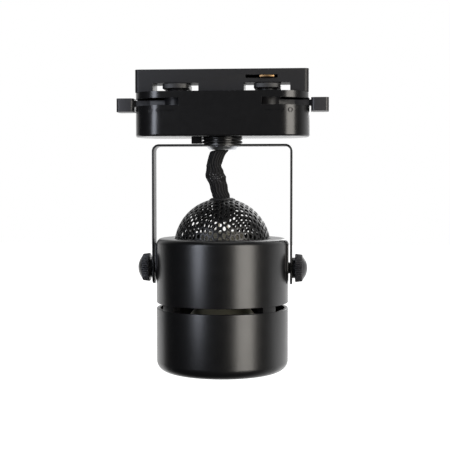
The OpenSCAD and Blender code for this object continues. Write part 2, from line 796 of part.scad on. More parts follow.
module lampholder() color("#d8d4cb") difference() {
    union() {
        translate([0, 0, holder_bottom]) cylinder(r = holder_r, h = holder_h);
        for (s = [-1, 1]) translate([0, s * ear_y, holder_bottom]) cylinder(r = ear_r, h = ear_h);
    }
    translate([0, 0, holder_bottom - cut]) cylinder(r = lamp_neck_r + 0.2, h = holder_lap + still + cut);
    for (s = [-1, 1]) {
        translate([s * pin_x, 0, holder_bottom])
            cylinder(r = pin_head_r + head_room / 2, h = pin_l + holder_lap + 0.5);
        translate([0, s * ear_y, holder_bottom - cut])
            cylinder(r = holder_screw_r + still, h = ear_h + 2 * cut);
        translate([s * lead_x, 0, holder_top - lead_socket_h])
            cylinder(r = wire_r + 0.3, h = lead_socket_h + cut);
    }
}

module lampholder_bracket() color("#9fa0a2") translate([0, 0, bracket_top - bracket_t])
    difference() {
        union() {
            translate([-bracket_screw_x - bracket_end, -bracket_w / 2, 0])
                cube([2 * (bracket_screw_x + bracket_end), bracket_w, bracket_t]);
            cylinder(r = bracket_eye_r, h = bracket_t);
        }
        translate([0, 0, -cut]) cylinder(r = lamp_neck_r + 0.4, h = bracket_t + 2 * cut);
        for (s = [-1, 1]) {
            translate([s * bracket_screw_x, 0, -cut])
                cylinder(r = bracket_screw_r + still, h = bracket_t + 2 * cut);
            translate([0, s * ear_y, -cut])
                cylinder(r = holder_screw_r + still, h = bracket_t + 2 * cut);
        }
    }

module bracket_screws() color("#77777a") for (s = [-1, 1])
    translate([s * bracket_screw_x, 0, bracket_top - bracket_t - still]) rotate([180, 0, 0])
        pan_screw(bracket_screw_r, bracket_t + bracket_screw_in, bracket_head_r, bracket_head_h);

module holder_screws() color("#77777a") for (s = [-1, 1])
    translate([0, s * ear_y, holder_bottom + ear_h + still])
        pan_screw(holder_screw_r, ear_h + bracket_t + 1, holder_screw_head_r, holder_screw_head_h);

// Outline of the lamp's envelope from its rim to its neck: [radius, height above the face]
module lamp_outline(inset) {
    cone_top_h = lamp_len - lamp_neck_l;
    polygon([
        [0, 0], [lamp_r - inset, 0], [lamp_r - inset, lamp_rim_h],
        for (i = [0, 1]) [lamp_r - reflector_in[i] - inset, lamp_rim_h + reflector_up[i]],
        [lamp_neck_r + 1.2 - inset, cone_top_h - 3], [lamp_neck_r - inset, cone_top_h],
        [lamp_neck_r - inset, lamp_len - 2 * inset], [0, lamp_len - 2 * inset]
    ]);
}

module lamp_body() color("#6b6a62") translate([0, 0, lamp_face]) difference() {
    rotate_extrude() difference() {
        lamp_outline(0);
        translate([0, -cut]) square([lamp_r - lamp_wall, lens_t + still + cut]);
        intersection() {
            lamp_outline(lamp_wall);
            square([lamp_r, lamp_len - lamp_neck_l + 2]);
        }
    }
    for (s = [-1, 1]) translate([s * pin_x, 0, lamp_len - 3])
        cylinder(r = pin_neck_r + still, h = 3 + cut);
}

module lamp_lens() color("#cfd6d8") translate([0, 0, lamp_face])
    cylinder(r = lamp_r - lamp_wall - still, h = lens_t);

module lamp_capsule() color("#e8e6dc")
    translate([0, 0, lamp_base - pin_in - 0.5 - capsule_l - 7]) {
        cylinder(r = capsule_r, h = capsule_l);
        sphere(capsule_r);
    }

module lamp_pins() color("#c9c9cc") for (s = [-1, 1])
    translate([s * pin_x, 0, lamp_base - pin_in]) {
        neck_l = pin_in + pin_l - pin_head_h;
        cylinder(r = pin_neck_r, h = neck_l);
        translate([0, 0, neck_l]) cylinder(r = pin_head_r, h = pin_head_h);
    }

// A black baffle that centres the lamp's rim and closes the ring round it.
module lamp_collar() color("#151516") rotate_extrude() {
    translate([collar_r, ledge_top + still]) square([collar_flange_r - collar_r, collar_t]);
    translate([collar_r, lamp_face - 2 * clip_wire_r - 0.6])
        square([collar_t, ledge_top + collar_t - lamp_face + 2 * clip_wire_r + 0.6]);
}

module lamp_clip() color("#8f8f92") translate([0, 0, clip_z]) {
    rotate([0, 0, 30 - 90]) rotate_extrude(angle = 300)
        translate([clip_ring_r, 0]) circle(clip_wire_r, $fn = 24);
    for (a = [30 - 90, 240]) rotate([0, 0, a]) translate([clip_ring_r - 3.5, 0, 0])
        rotate([0, 90, 0]) cylinder(r = clip_wire_r, h = 3.5, $fn = 24);
}

// The sleeve goes on inside the dome, on the head's side of the grommet.
module inner_sleeve() color("#121213") {
    start = grommet_top - sleeve_end_in - 0.3;
    drop = start - inner_sleeve_end;
    swept([for (i = [0 : 4]) [-0.2 + i * 0.05, 0, start - drop * i / 4]],
        sleeve_w / 2 - 0.1, sleeve_d / 2, sleeve_sides);
}

module lamp_leads() color("#d9d4c4") {
    start = inner_sleeve_end - 0.3;
    drop = start - (holder_top - lead_socket_h + 0.4);
    for (s = [-1, 1]) swept([
        [s * 2.2, 0, start], [s * 2.3, 0, start - drop * 0.2],
        [s * 3.2, 0, start - drop * 0.42], [s * lead_x, 0, start - drop * 0.62],
        [s * lead_x, 0, start - drop]
    ], wire_r, wire_r, wire_sides);
}

module pivot_washer(side) along_x(side)
    translate([0, 0, flat_x + face_gap]) washer(spacer_r, screw_r + run, spacer_t);

module left_pivot_washer() color("#3a3a3c") pivot_washer(-1);
module right_pivot_washer() color("#3a3a3c") pivot_washer(1);

// ================================================================ knobs

// A thumb knob along Z: its seat on the yoke is at z = knob_in.
module knob() difference() {
    union() {
        translate([0, 0, knob_in]) cylinder(r = knob_hub_r, h = knob_hub_l + 0.5);
        translate([0, 0, knob_rim_in])
            cylinder(r1 = knob_r, r2 = knob_r - knob_draft, h = knob_rim_l);
        // a spherical cap through the knob's face with the stated height
        translate([0, 0, knob_rim_out]) intersection() {
            cap_sphere_r = (knob_cap_r * knob_cap_r + knob_dome_h * knob_dome_h)
                / (2 * knob_dome_h);
            translate([0, 0, knob_dome_h - cap_sphere_r]) sphere(cap_sphere_r);
            cylinder(r = knob_r, h = knob_dome_h + cut);
        }
    }
    translate([0, 0, knob_in - cut]) cylinder(r = screw_r + still, h = knob_rim_l + 1 + cut);
    for (i = [0 : knurls - 1]) rotate([0, 0, 360 * i / knurls])
        translate([knob_r - knob_draft / 2 + 0.1, 0, knob_rim_in - cut])
            cylinder(r = knurl_r, h = knob_rim_l + 2 * cut, $fn = 16);
}

// The screw is fast in the knob and runs in the threaded insert of the head.
module knob_screw() translate([0, 0, flat_x - insert_l])
    cylinder(r = screw_r, h = knob_in + knob_rim_l + 0.8 - flat_x + insert_l);

module left_knob() color("#17171a") along_x(-1) knob();
module right_knob() color("#17171a") along_x(1) knob();
module left_knob_screw() color("#909093") along_x(-1) knob_screw();
module right_knob_screw() color("#909093") along_x(1) knob_screw();

adapter_casing();
boss_rings();
track_insert();
casing_screws();
contact_springs();
adapter_wires();
left_lever();
left_lock_wing();
left_contact();
left_contact_screw();
right_lever();
right_lock_wing();
right_contact();
right_contact_screw();
yoke();
pan_nipple();
spring_washer();
stop_washer();
nipple_locknut();
swivel_nut();
cable_sleeve();
rear_housing();
front_ring();
rib_screws();
pivot_inserts();
mesh_dome();
dome_grommet();
lampholder();
lampholder_bracket();
bracket_screws();
holder_screws();
lamp_body();
lamp_lens();
lamp_capsule();
lamp_pins();
lamp_collar();
lamp_clip();
inner_sleeve();
lamp_leads();
left_pivot_washer();
right_pivot_washer();
left_knob();
left_knob_screw();
right_knob();
right_knob_screw();
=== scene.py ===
"""The looks of a track spotlight, built round its packed construction model.

Every shape is worked out in millimetres in the construction model's frame and is turned to metres
once, where its mesh is made. +Z is up, the track runs along X, and the origin is on the pan axis in
the plane where the adapter seats. Places come from the boxes of the construction model's nodes.
"""

import json
import logging
import math
from dataclasses import dataclass, field
from enum import Enum

import bmesh
import bpy
import numpy as np
from mathutils import Matrix, Vector


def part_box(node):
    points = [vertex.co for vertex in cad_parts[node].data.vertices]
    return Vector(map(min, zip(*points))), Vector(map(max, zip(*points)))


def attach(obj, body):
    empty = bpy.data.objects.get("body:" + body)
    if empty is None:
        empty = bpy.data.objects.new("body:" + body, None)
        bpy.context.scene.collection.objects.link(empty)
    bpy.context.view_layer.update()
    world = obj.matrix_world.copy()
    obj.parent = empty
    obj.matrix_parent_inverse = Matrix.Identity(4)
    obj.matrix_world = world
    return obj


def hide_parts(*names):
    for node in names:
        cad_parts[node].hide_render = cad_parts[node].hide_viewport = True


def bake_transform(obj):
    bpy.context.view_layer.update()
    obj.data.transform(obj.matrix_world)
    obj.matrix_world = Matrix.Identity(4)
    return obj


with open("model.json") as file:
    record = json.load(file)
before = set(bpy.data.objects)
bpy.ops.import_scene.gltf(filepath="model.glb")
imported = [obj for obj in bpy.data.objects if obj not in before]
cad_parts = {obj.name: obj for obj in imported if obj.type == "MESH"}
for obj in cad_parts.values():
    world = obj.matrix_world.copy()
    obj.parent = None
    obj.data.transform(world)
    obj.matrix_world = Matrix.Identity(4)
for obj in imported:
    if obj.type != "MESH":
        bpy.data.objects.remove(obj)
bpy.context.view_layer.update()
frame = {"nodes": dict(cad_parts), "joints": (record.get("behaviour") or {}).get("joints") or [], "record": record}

MM = 0.001
# edges sharper than this stay sharp where a piece names no angle of its own
SMOOTH_DEG = 32.0
# points of a made surface that lie closer than this are one
WELD_MM = 0.0005
# the same for a construction mesh, and the angle within which its triangles form one face
MERGE_MM = 0.002
FLAT_DEG = 0.6
# edges of a construction copy sharper than this are rounded, in so many steps
EDGE_DEG = 34.0
EDGE_STEPS = 2
# how far a finish's roughness wanders to either side
GLOSS_SPREAD = 0.035
# pattern scale along a brushed scratch, as a share of the scale across it
BRUSH_STRETCH = 0.08
# turn of the braid's yarns from the tube's length, to either side
YARN_DEG = 27.0

log = logging.getLogger("spotlight")
logging.basicConfig(level=logging.INFO, format="%(name)s: %(message)s")


class Side(Enum):
    """The two ends of the track and of the tilt axis."""

    LEFT = -1
    RIGHT = 1

    @property
    def word(self) -> str:
        """The side's name as the nodes spell it."""
        return self.name.lower()


# ---------------------------------------------------------------- measures from the frame


def box_mm(node: str) -> tuple[np.ndarray, np.ndarray]:
    """Lowest and highest corners of a construction node.

    Args:
        node: The node's name.

    Returns:
        The two corners, in millimetres.
    """
    low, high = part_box(node)
    return np.array(low) / MM, np.array(high) / MM


def joint_mm(name: str) -> np.ndarray:
    """Place of a joint's axis.

    Args:
        name: The joint's name.

    Returns:
        A point on the axis, in millimetres.
    """
    found = next(j for j in frame["joints"] if j["name"] == name)
    return np.array(found["pos_m"]) / MM


# ---------------------------------------------------------------- shapes as arrays


@dataclass
class Shape:
    """A surface: an array of points in millimetres, and each face as a list of indices.

    A patterned surface also has a map, with (u, v) at each face corner, and a crown, which is
    the share of pale painted glint at each point: most on top of the relief and 0 in its dips.
    """

    points: np.ndarray
    faces: list
    uv: np.ndarray | None = None
    crown: np.ndarray | None = None

    def moved(self, matrix: Matrix) -> "Shape":
        """The same shape under a 4 by 4 transform, in millimetres."""
        m = np.array(matrix)
        return Shape(self.points @ m[:3, :3].T + m[:3, 3], self.faces, self.uv, self.crown)

    def plus(self, *others: "Shape") -> "Shape":
        """This shape and others as one set of arrays, without their maps.

        Args:
            others: The shapes to add.

        Returns:
            The joined shape.
        """
        points, faces, count = [self.points], list(self.faces), len(self.points)
        for other in others:
            points.append(other.points)
            faces += [[i + count for i in f] for f in other.faces]
            count += len(other.points)
        return Shape(np.concatenate(points), faces)


def grid_faces(rows: int, columns: int, wrap_rows: bool, wrap_columns: bool) -> np.ndarray:
    """Quads of a grid whose point (r, c) has the index r * columns + c.

    Args:
        rows: Number of rows of points.
        columns: Number of points in a row.
        wrap_rows: True if the last row joins the first.
        wrap_columns: True if the last column joins the first.

    Returns:
        An array of four indices per quad.
    """
    r = np.arange(rows if wrap_rows else rows - 1)[:, None]
    c = np.arange(columns if wrap_columns else columns - 1)[None, :]
    r2, c2 = (r + 1) % rows, (c + 1) % columns
    quad = np.stack([r * columns + c, r * columns + c2, r2 * columns + c2, r2 * columns + c], -1)
    return quad.reshape(-1, 4)


def tube_faces(rings: int, around: int) -> list:
    """Faces of a tube of closed rings, with a cap at each end.

    Args:
        rings: Number of rings.
        around: Number of points in a ring.

    Returns:
        The quads, then the first ring's cap and the last ring's.
    """
    caps = [list(range(around))[::-1], list(range((rings - 1) * around, rings * around))]
    return grid_faces(rings, around, False, True).tolist() + caps


def rounded(corners: list, steps: int = 5, closed: bool = True) -> np.ndarray:
    """A polyline with its corners turned to arcs.

    At a corner with radius q and half opening angle h, the arc starts q / tan(h) before the corner
    and its centre lies q / sin(h) along the bisector.

    Args:
        corners: (a, b, radius) for each corner.
        steps: Segments in each arc.
        closed: True if the last corner joins the first.

    Returns:
        The points of the outline.
    """
    flat = np.array([c[:2] for c in corners], float)
    out = []
    for i, (_, _, radius) in enumerate(corners):
        here = flat[i]
        if radius <= 0 or (not closed and i in (0, len(corners) - 1)):
            out.append(here[None])
            continue
        to_prev = flat[i - 1] - here
        to_next = flat[(i + 1) % len(flat)] - here
        to_prev, to_next = to_prev / np.linalg.norm(to_prev), to_next / np.linalg.norm(to_next)
        half = math.acos(float(np.clip(to_prev @ to_next, -1, 1))) / 2
        bisector = (to_prev + to_next) / np.linalg.norm(to_prev + to_next)
        centre = here + bisector * radius / math.sin(half)
        start = here + to_prev * radius / math.tan(half) - centre
        end = here + to_next * radius / math.tan(half) - centre
        first = math.atan2(start[1], start[0])
        turn = (math.atan2(end[1], end[0]) - first + math.pi) % (2 * math.pi) - math.pi
        angles = first + turn * np.linspace(0, 1, steps + 1)
        out.append(centre + radius * np.stack([np.cos(angles), np.sin(angles)], 1))
    return np.concatenate(out)


def revolve(profile: np.ndarray, segments: int, start: float = 0.0, span: float = 360.0,
            closed: bool = True) -> Shape:
    """A profile carried round the Z axis: (r, z) goes to (r cos t, r sin t, z).

    Args:
        profile: (r, z) points.
        segments: Steps round the whole circle, or over the span.
        start: First angle in degrees.
        span: Angle covered; under 360 the two ends are closed with flat faces.
        closed: True if the profile's last point joins its first.

    Returns:
        The surface.
    """
    whole = span >= 360.0
    count = segments if whole else segments + 1
    t = np.radians(start + span * np.arange(count) / segments)
    r, z = profile[:, 0], profile[:, 1]
    points = np.stack([np.outer(np.cos(t), r), np.outer(np.sin(t), r),
                       np.broadcast_to(z, (count, len(z)))], -1).reshape(-1, 3)
    faces = grid_faces(count, len(profile), whole, closed).tolist()
    if not whole:
        end = np.arange(len(profile))
        faces += [end.tolist(), ((count - 1) * len(profile) + end[::-1]).tolist()]
    return Shape(points, faces)


def slab(outline: np.ndarray, low: float, high: float, edge: float, steps: int = 3) -> Shape:
    """A flat piece: a plan outline carried up Z with quarter-round edges at both ends.

    The outline is drawn in by edge * (1 - cos a) as it comes within edge of an end, where a runs
    over the quarter turn, along the outline's own inward normals.

    Args:
        outline: Closed (x, y) points, anticlockwise.
        low: Lowest Z.
        high: Highest Z.
        edge: Radius of the edges.
        steps: Segments in each quarter round.

    Returns:
        The closed surface.
    """
    ahead, behind = np.roll(outline, -1, 0), np.roll(outline, 1, 0)
    along = ahead - behind
    inward = np.stack([-along[:, 1], along[:, 0]], 1) / np.linalg.norm(along, axis=1)[:, None]
    a = np.linspace(0, math.pi / 2, steps + 1)
    insets = np.concatenate([edge * (1 - np.sin(a)), edge * (1 - np.sin(a[::-1]))])
    heights = np.concatenate([low + edge * (1 - np.cos(a)), high - edge * (1 - np.cos(a[::-1]))])
    rings = outline[None] + insets[:, None, None] * inward[None]
    points = np.concatenate([rings, np.broadcast_to(heights[:, None, None],
                                                    rings.shape[:2] + (1,))], -1)
    return Shape(points.reshape(-1, 3), tube_faces(len(heights), len(outline)))


def swept(path: np.ndarray, sections: np.ndarray, cross: np.ndarray) -> Shape:
    """Closed cross sections carried along a path, with both ends capped.

    Each ring's point is path + a * side + b * cross, where (a, b) is the section's point, cross is
    one fixed direction and side is at right angles to it and to the path.

    Args:
        path: (n, 3) points.
        sections: (n, m, 2) cross sections, or (m, 2) for one that stays the same.
        cross: The fixed direction, of length 1.

    Returns:
        The closed surface.
    """
    if sections.ndim == 2:
        sections = np.broadcast_to(sections, (len(path),) + sections.shape)
    along = np.gradient(path, axis=0)
    side = np.cross(np.broadcast_to(cross, along.shape), along)
    side /= np.linalg.norm(side, axis=1)[:, None]
    points = path[:, None] + sections[..., :1] * side[:, None] + sections[..., 1:] * cross
    return Shape(points.reshape(-1, 3), tube_faces(*sections.shape[:2]))


def smooth_path(knots: np.ndarray, count: int) -> np.ndarray:
    """A Catmull-Rom curve through given points.

    Between knots 1 and 2 it is the cubic that has the slopes (k2 - k0) / 2 and (k3 - k1) / 2.

    Args:
        knots: (k, d) points.
        count: Number of points to return.

    Returns:
        (count, d) points along the curve.
    """
    ends = np.concatenate([[2 * knots[0] - knots[1]], knots, [2 * knots[-1] - knots[-2]]])
    t = np.linspace(0, len(knots) - 1 - 1e-9, count)
    i, f = t.astype(int), (t % 1)[:, None]
    k0, k1, k2, k3 = ends[i], ends[i + 1], ends[i + 2], ends[i + 3]
    return 0.5 * (2 * k1 + (k2 - k0) * f + (2 * k0 - 5 * k1 + 4 * k2 - k3) * f ** 2
                  + (3 * k1 - 3 * k2 + k3 - k0) * f ** 3)


def circle(radius: float, count: int) -> np.ndarray:
    """(count, 2) points anticlockwise round a circle."""
    t = 2 * math.pi * np.arange(count) / count
    return radius * np.stack([np.cos(t), np.sin(t)], 1)


def axis_x(side: Side, z: float) -> Matrix:
    """The turn that lays a shape built along +Z outwards along X at a height z."""
    return Matrix.Translation((0, 0, z)) @ Matrix.Rotation(side.value * math.pi / 2, 4, "Y")


# ---------------------------------------------------------------- meshes


def mesh_object(name: str, shape: Shape, smooth_deg: float = SMOOTH_DEG,
                outward: bool = True) -> bpy.types.Object:
    """Puts a shape into a new mesh object at the origin, in metres.

    Args:
        name: The piece's name.
        shape: The surface.
        smooth_deg: Edges sharper than this stay sharp.
        outward: True if the faces of a closed surface are to be turned outwards.

    Returns:
        The new object.
    """
    mesh = bpy.data.meshes.new(name)
    mesh.from_pydata((shape.points * MM).tolist(), [], shape.faces)
    if shape.uv is not None:
        layer = mesh.uv_layers.new(name="surface")
        layer.data.foreach_set("uv", shape.uv.astype(np.float32).ravel())
    if shape.crown is not None:
        layer = mesh.attributes.new("crown", "FLOAT", "POINT")
        layer.data.foreach_set("value", shape.crown.astype(np.float32).ravel())
    work = bmesh.new()
    work.from_mesh(mesh)
    bmesh.ops.remove_doubles(work, verts=work.verts, dist=WELD_MM * MM)
    bmesh.ops.dissolve_degenerate(work, edges=work.edges, dist=WELD_MM * MM)
    if outward:
        bmesh.ops.recalc_face_normals(work, faces=work.faces)
    work.to_mesh(mesh)
    work.free()
    return shown(name, mesh, smooth_deg)


def shown(name: str, mesh: bpy.types.Mesh, smooth_deg: float) -> bpy.types.Object:
    """Links a finished mesh as an object.

    Args:
        name: The object's name.
        mesh: The mesh.
        smooth_deg: Edges sharper than this stay sharp.

    Returns:
        The new object.
    """
    mesh.validate()
    mesh.shade_smooth()
    mesh.set_sharp_from_angle(angle=math.radians(smooth_deg))
    piece = bpy.data.objects.new(name, mesh)
    bpy.context.scene.collection.objects.link(piece)
    return piece


def construction_copy(node: str, name: str, edge: float) -> bpy.types.Object:
    """A copy of a construction node with its faces rejoined and its edges rounded.

    Args:
        node: The construction node.
        name: The new piece's name.
        edge: Width of the rounding, in millimetres, or 0 for none.

    Returns:
        The new object.
    """
    mesh = frame["nodes"][node].data.copy()
    mesh.name = name
    mesh.materials.clear()
    work = bmesh.new()
    work.from_mesh(mesh)
    bmesh.ops.remove_doubles(work, verts=work.verts, dist=MERGE_MM * MM)
    bmesh.ops.dissolve_limit(work, angle_limit=math.radians(FLAT_DEG), verts=work.verts,
                             edges=work.edges, delimit={"NORMAL"})
    work.to_mesh(mesh)
    work.free()
    piece = shown(name, mesh, SMOOTH_DEG)
    if edge > 0:
        bevel = piece.modifiers.new("edges", "BEVEL")
        bevel.width = edge * MM
        bevel.segments = EDGE_STEPS
        bevel.limit_method = "ANGLE"
        bevel.angle_limit = math.radians(EDGE_DEG)
    return piece


def cut_away(piece: bpy.types.Object, cutter: bpy.types.Object) -> None:
    """Takes one closed mesh out of another and removes the cutter.

    Args:
        piece: The piece to cut, which ends up as plain mesh.
        cutter: What is taken out of it.
    """
    difference = piece.modifiers.new("cut", "BOOLEAN")
    difference.operation = "DIFFERENCE"
    difference.solver = "EXACT"
    difference.object = cutter
    graph = bpy.context.evaluated_depsgraph_get()
    final = bpy.data.meshes.new_from_object(piece.evaluated_get(graph))
    piece.modifiers.clear()
    piece.data = final
    bpy.data.objects.remove(cutter, do_unlink=True)


# ---------------------------------------------------------------- finishes


def linear(hex_colour: str, lightness: float = 1.0) -> tuple[float, float, float, float]:
    """Turns an sRGB hex colour to linear light.

    Args:
        hex_colour: Six hex digits after a #.
        lightness: A factor on the linear colour.

    Returns:
        Linear red, green and blue, and an alpha of 1.
    """
    parts = [int(hex_colour[i:i + 2], 16) / 255 for i in (1, 3, 5)]
    flat = [p / 12.92 if p <= 0.04045 else ((p + 0.055) / 1.055) ** 2.4 for p in parts]
    return (*(min(1.0, v * lightness) for v in flat), 1.0)


def add_node(tree: bpy.types.NodeTree, kind: str, inputs: dict | None = None,
             **settings: object) -> bpy.types.Node:
    """Adds a node, sets its properties, and fills its inputs.

    Args:
        tree: The tree to add to.
        kind: The node's type.
        inputs: Socket name or number to a value, or to the output socket that feeds it.
        settings: The node's properties.

    Returns:
        The new node.
    """
    node = tree.nodes.new(kind)
    for key, value in settings.items():
        setattr(node, key, value)
    for key, value in (inputs or {}).items():
        if isinstance(value, bpy.types.NodeSocket):
            tree.links.new(value, node.inputs[key])
        else:
            node.inputs[key].default_value = value
    return node


def per_metre(size_mm: float) -> float:
    """The scale of a pattern whose features are about size_mm across."""
    return 1 / (size_mm * MM)


class Grain(Enum):
    """How a finish's fine relief was made."""

    ERODED = "spark-eroded mould texture"
    ORANGE_PEEL = "the flow of a cured coat"
    BRUSHED = "parallel scratches"
    SANDED = "fired clay"


@dataclass(frozen=True)
class Finish:
    """A surface finish: one colour with soft patches, uneven gloss and a fine relief."""

    name: str
    colour: str
    roughness: float
    grain: Grain = Grain.ERODED
    grain_mm: float = 0.9
    relief_mm: float = 0.02
    mottle: float = 0.10
    patch_mm: float = 9.0
    metallic: float = 0.0
    ior: float = 1.5
    transmission: float = 0.0

    def material(self) -> bpy.types.Material:
        """The finish as a material, built the first time that it is asked for.

        Returns:
            The material.
        """
        found = bpy.data.materials.get(self.name)
        if found:
            return found
        material = bpy.data.materials.new(self.name)
        material.use_nodes = True
        tree = material.node_tree
        tree.nodes.clear()
        shader = add_node(tree, "ShaderNodeBsdfPrincipled", {
            "Metallic": self.metallic, "IOR": self.ior,
            "Transmission Weight": self.transmission})
        for socket, source in self.surface(tree).items():
            tree.links.new(source, shader.inputs[socket])
        add_node(tree, "ShaderNodeOutputMaterial", {"Surface": shader.outputs["BSDF"]})
        return material

    def surface(self, tree: bpy.types.NodeTree) -> dict:
        """The nodes behind the shader: patched colour, uneven gloss and the fine relief.

        Args:
            tree: The material's tree.

        Returns:
            Shader socket name to the output that feeds it.
        """
        place = add_node(tree, "ShaderNodeTexCoord").outputs["Object"]
        patch = add_node(tree, "ShaderNodeTexNoise", {
            "Vector": place, "Scale": per_metre(self.patch_mm), "Detail": 3.0})
        colour = add_node(tree, "ShaderNodeMix", {
            0: patch.outputs[0], 6: linear(self.colour, 1 - self.mottle),
            7: linear(self.colour, 1 + self.mottle)}, data_type="RGBA")
        wear = add_node(tree, "ShaderNodeTexNoise", {
            "Vector": place, "Scale": per_metre(self.patch_mm / 3), "Detail": 2.0})
        gloss = add_node(tree, "ShaderNodeMapRange", {
            "Value": wear.outputs[0], "To Min": self.roughness - GLOSS_SPREAD,
            "To Max": self.roughness + GLOSS_SPREAD})
        bump = add_node(tree, "ShaderNodeBump", {
            "Height": self.relief(tree, place), "Distance": self.relief_mm * MM,
            "Strength": 1.0})
        return {"Base Color": colour.outputs[2], "Roughness": gloss.outputs["Result"],
                "Normal": bump.outputs["Normal"]}

    def relief(self, tree: bpy.types.NodeTree, place: bpy.types.NodeSocket
               ) -> bpy.types.NodeSocket:
        """The height of the fine relief, from 0 to 1.

        Args:
            tree: The material's tree.
            place: Object coordinates.

        Returns:
            The output that holds the height.
        """
        scale = per_metre(self.grain_mm)
        if self.grain is Grain.ORANGE_PEEL:
            return add_node(tree, "ShaderNodeTexVoronoi", {
                "Vector": place, "Scale": scale, "Smoothness": 1.0},
                feature="SMOOTH_F1").outputs["Distance"]
        if self.grain is Grain.BRUSHED:
            place = add_node(tree, "ShaderNodeMapping", {
                "Vector": place, "Scale": (BRUSH_STRETCH, 1.0, 1.0)}).outputs["Vector"]
        detail = {Grain.BRUSHED: 3.0, Grain.SANDED: 4.0, Grain.ERODED: 1.5}[self.grain]
        return add_node(tree, "ShaderNodeTexNoise", {
            "Vector": place, "Scale": scale, "Detail": detail}).outputs[0]


@dataclass(frozen=True)
class BraidFinish(Finish):
    """Matt braided yarn: fibres run along each yarn, the crowns of the relief get a pale painted glint, and the
    dips between yarns keep the dark base colour.
    """

    # pale colour of the painted glint on the crowns of the yarns and knuckles
    crest: str = "#a5a5a8"
    fibre_mm: float = 0.16

    def surface(self, tree: bpy.types.NodeTree) -> dict:
        """The nodes behind the shader, which follow the braid's own map in millimetres.

        Two sets of waves cross along the yarns, and their product, times the crown, mixes in the pale crest
        colour: a painted glint on the crowns of the relief.

        Args:
            tree: The material's tree.

        Returns:
            Shader socket name to the output that feeds it.
        """
        flat = add_node(tree, "ShaderNodeUVMap", uv_map="surface").outputs["UV"]
        fibres = []
        for turn in (YARN_DEG, -YARN_DEG):
            turned = add_node(tree, "ShaderNodeMapping", {
                "Vector": flat, "Rotation": (0, 0, math.radians(90 + turn))})
            # a wave of scale s repeats every pi / (10 s)
            fibres.append(add_node(tree, "ShaderNodeTexWave", {
                "Vector": turned.outputs["Vector"], "Scale": math.pi / (10 * self.fibre_mm),
                "Distortion": 2.0, "Detail": 1.0}).outputs["Fac"])
        both = add_node(tree, "ShaderNodeMath", dict(enumerate(fibres)),
                        operation="MULTIPLY").outputs[0]
        crown = add_node(tree, "ShaderNodeAttribute", attribute_name="crown").outputs["Fac"]
        lit = add_node(tree, "ShaderNodeMapRange", {
            "Value": both, "To Min": 0.55, "To Max": 1.0}).outputs["Result"]
        light = add_node(tree, "ShaderNodeMath", {0: lit, 1: crown},
                         operation="MULTIPLY").outputs[0]
        # painted glint: the crowns take the pale crest colour, and the dips keep the dark base colour
        colour = add_node(tree, "ShaderNodeMix", {
            0: light, 6: linear(self.colour), 7: linear(self.crest)}, data_type="RGBA")
        rough = add_node(tree, "ShaderNodeMapRange", {
            "Value": crown, "To Min": self.roughness + 0.2, "To Max": self.roughness})
        bump = add_node(tree, "ShaderNodeBump", {
            "Height": both, "Distance": self.relief_mm * MM, "Strength": 1.0})
        return {"Base Color": colour.outputs[2], "Roughness": rough.outputs["Result"],
                "Normal": bump.outputs["Normal"]}


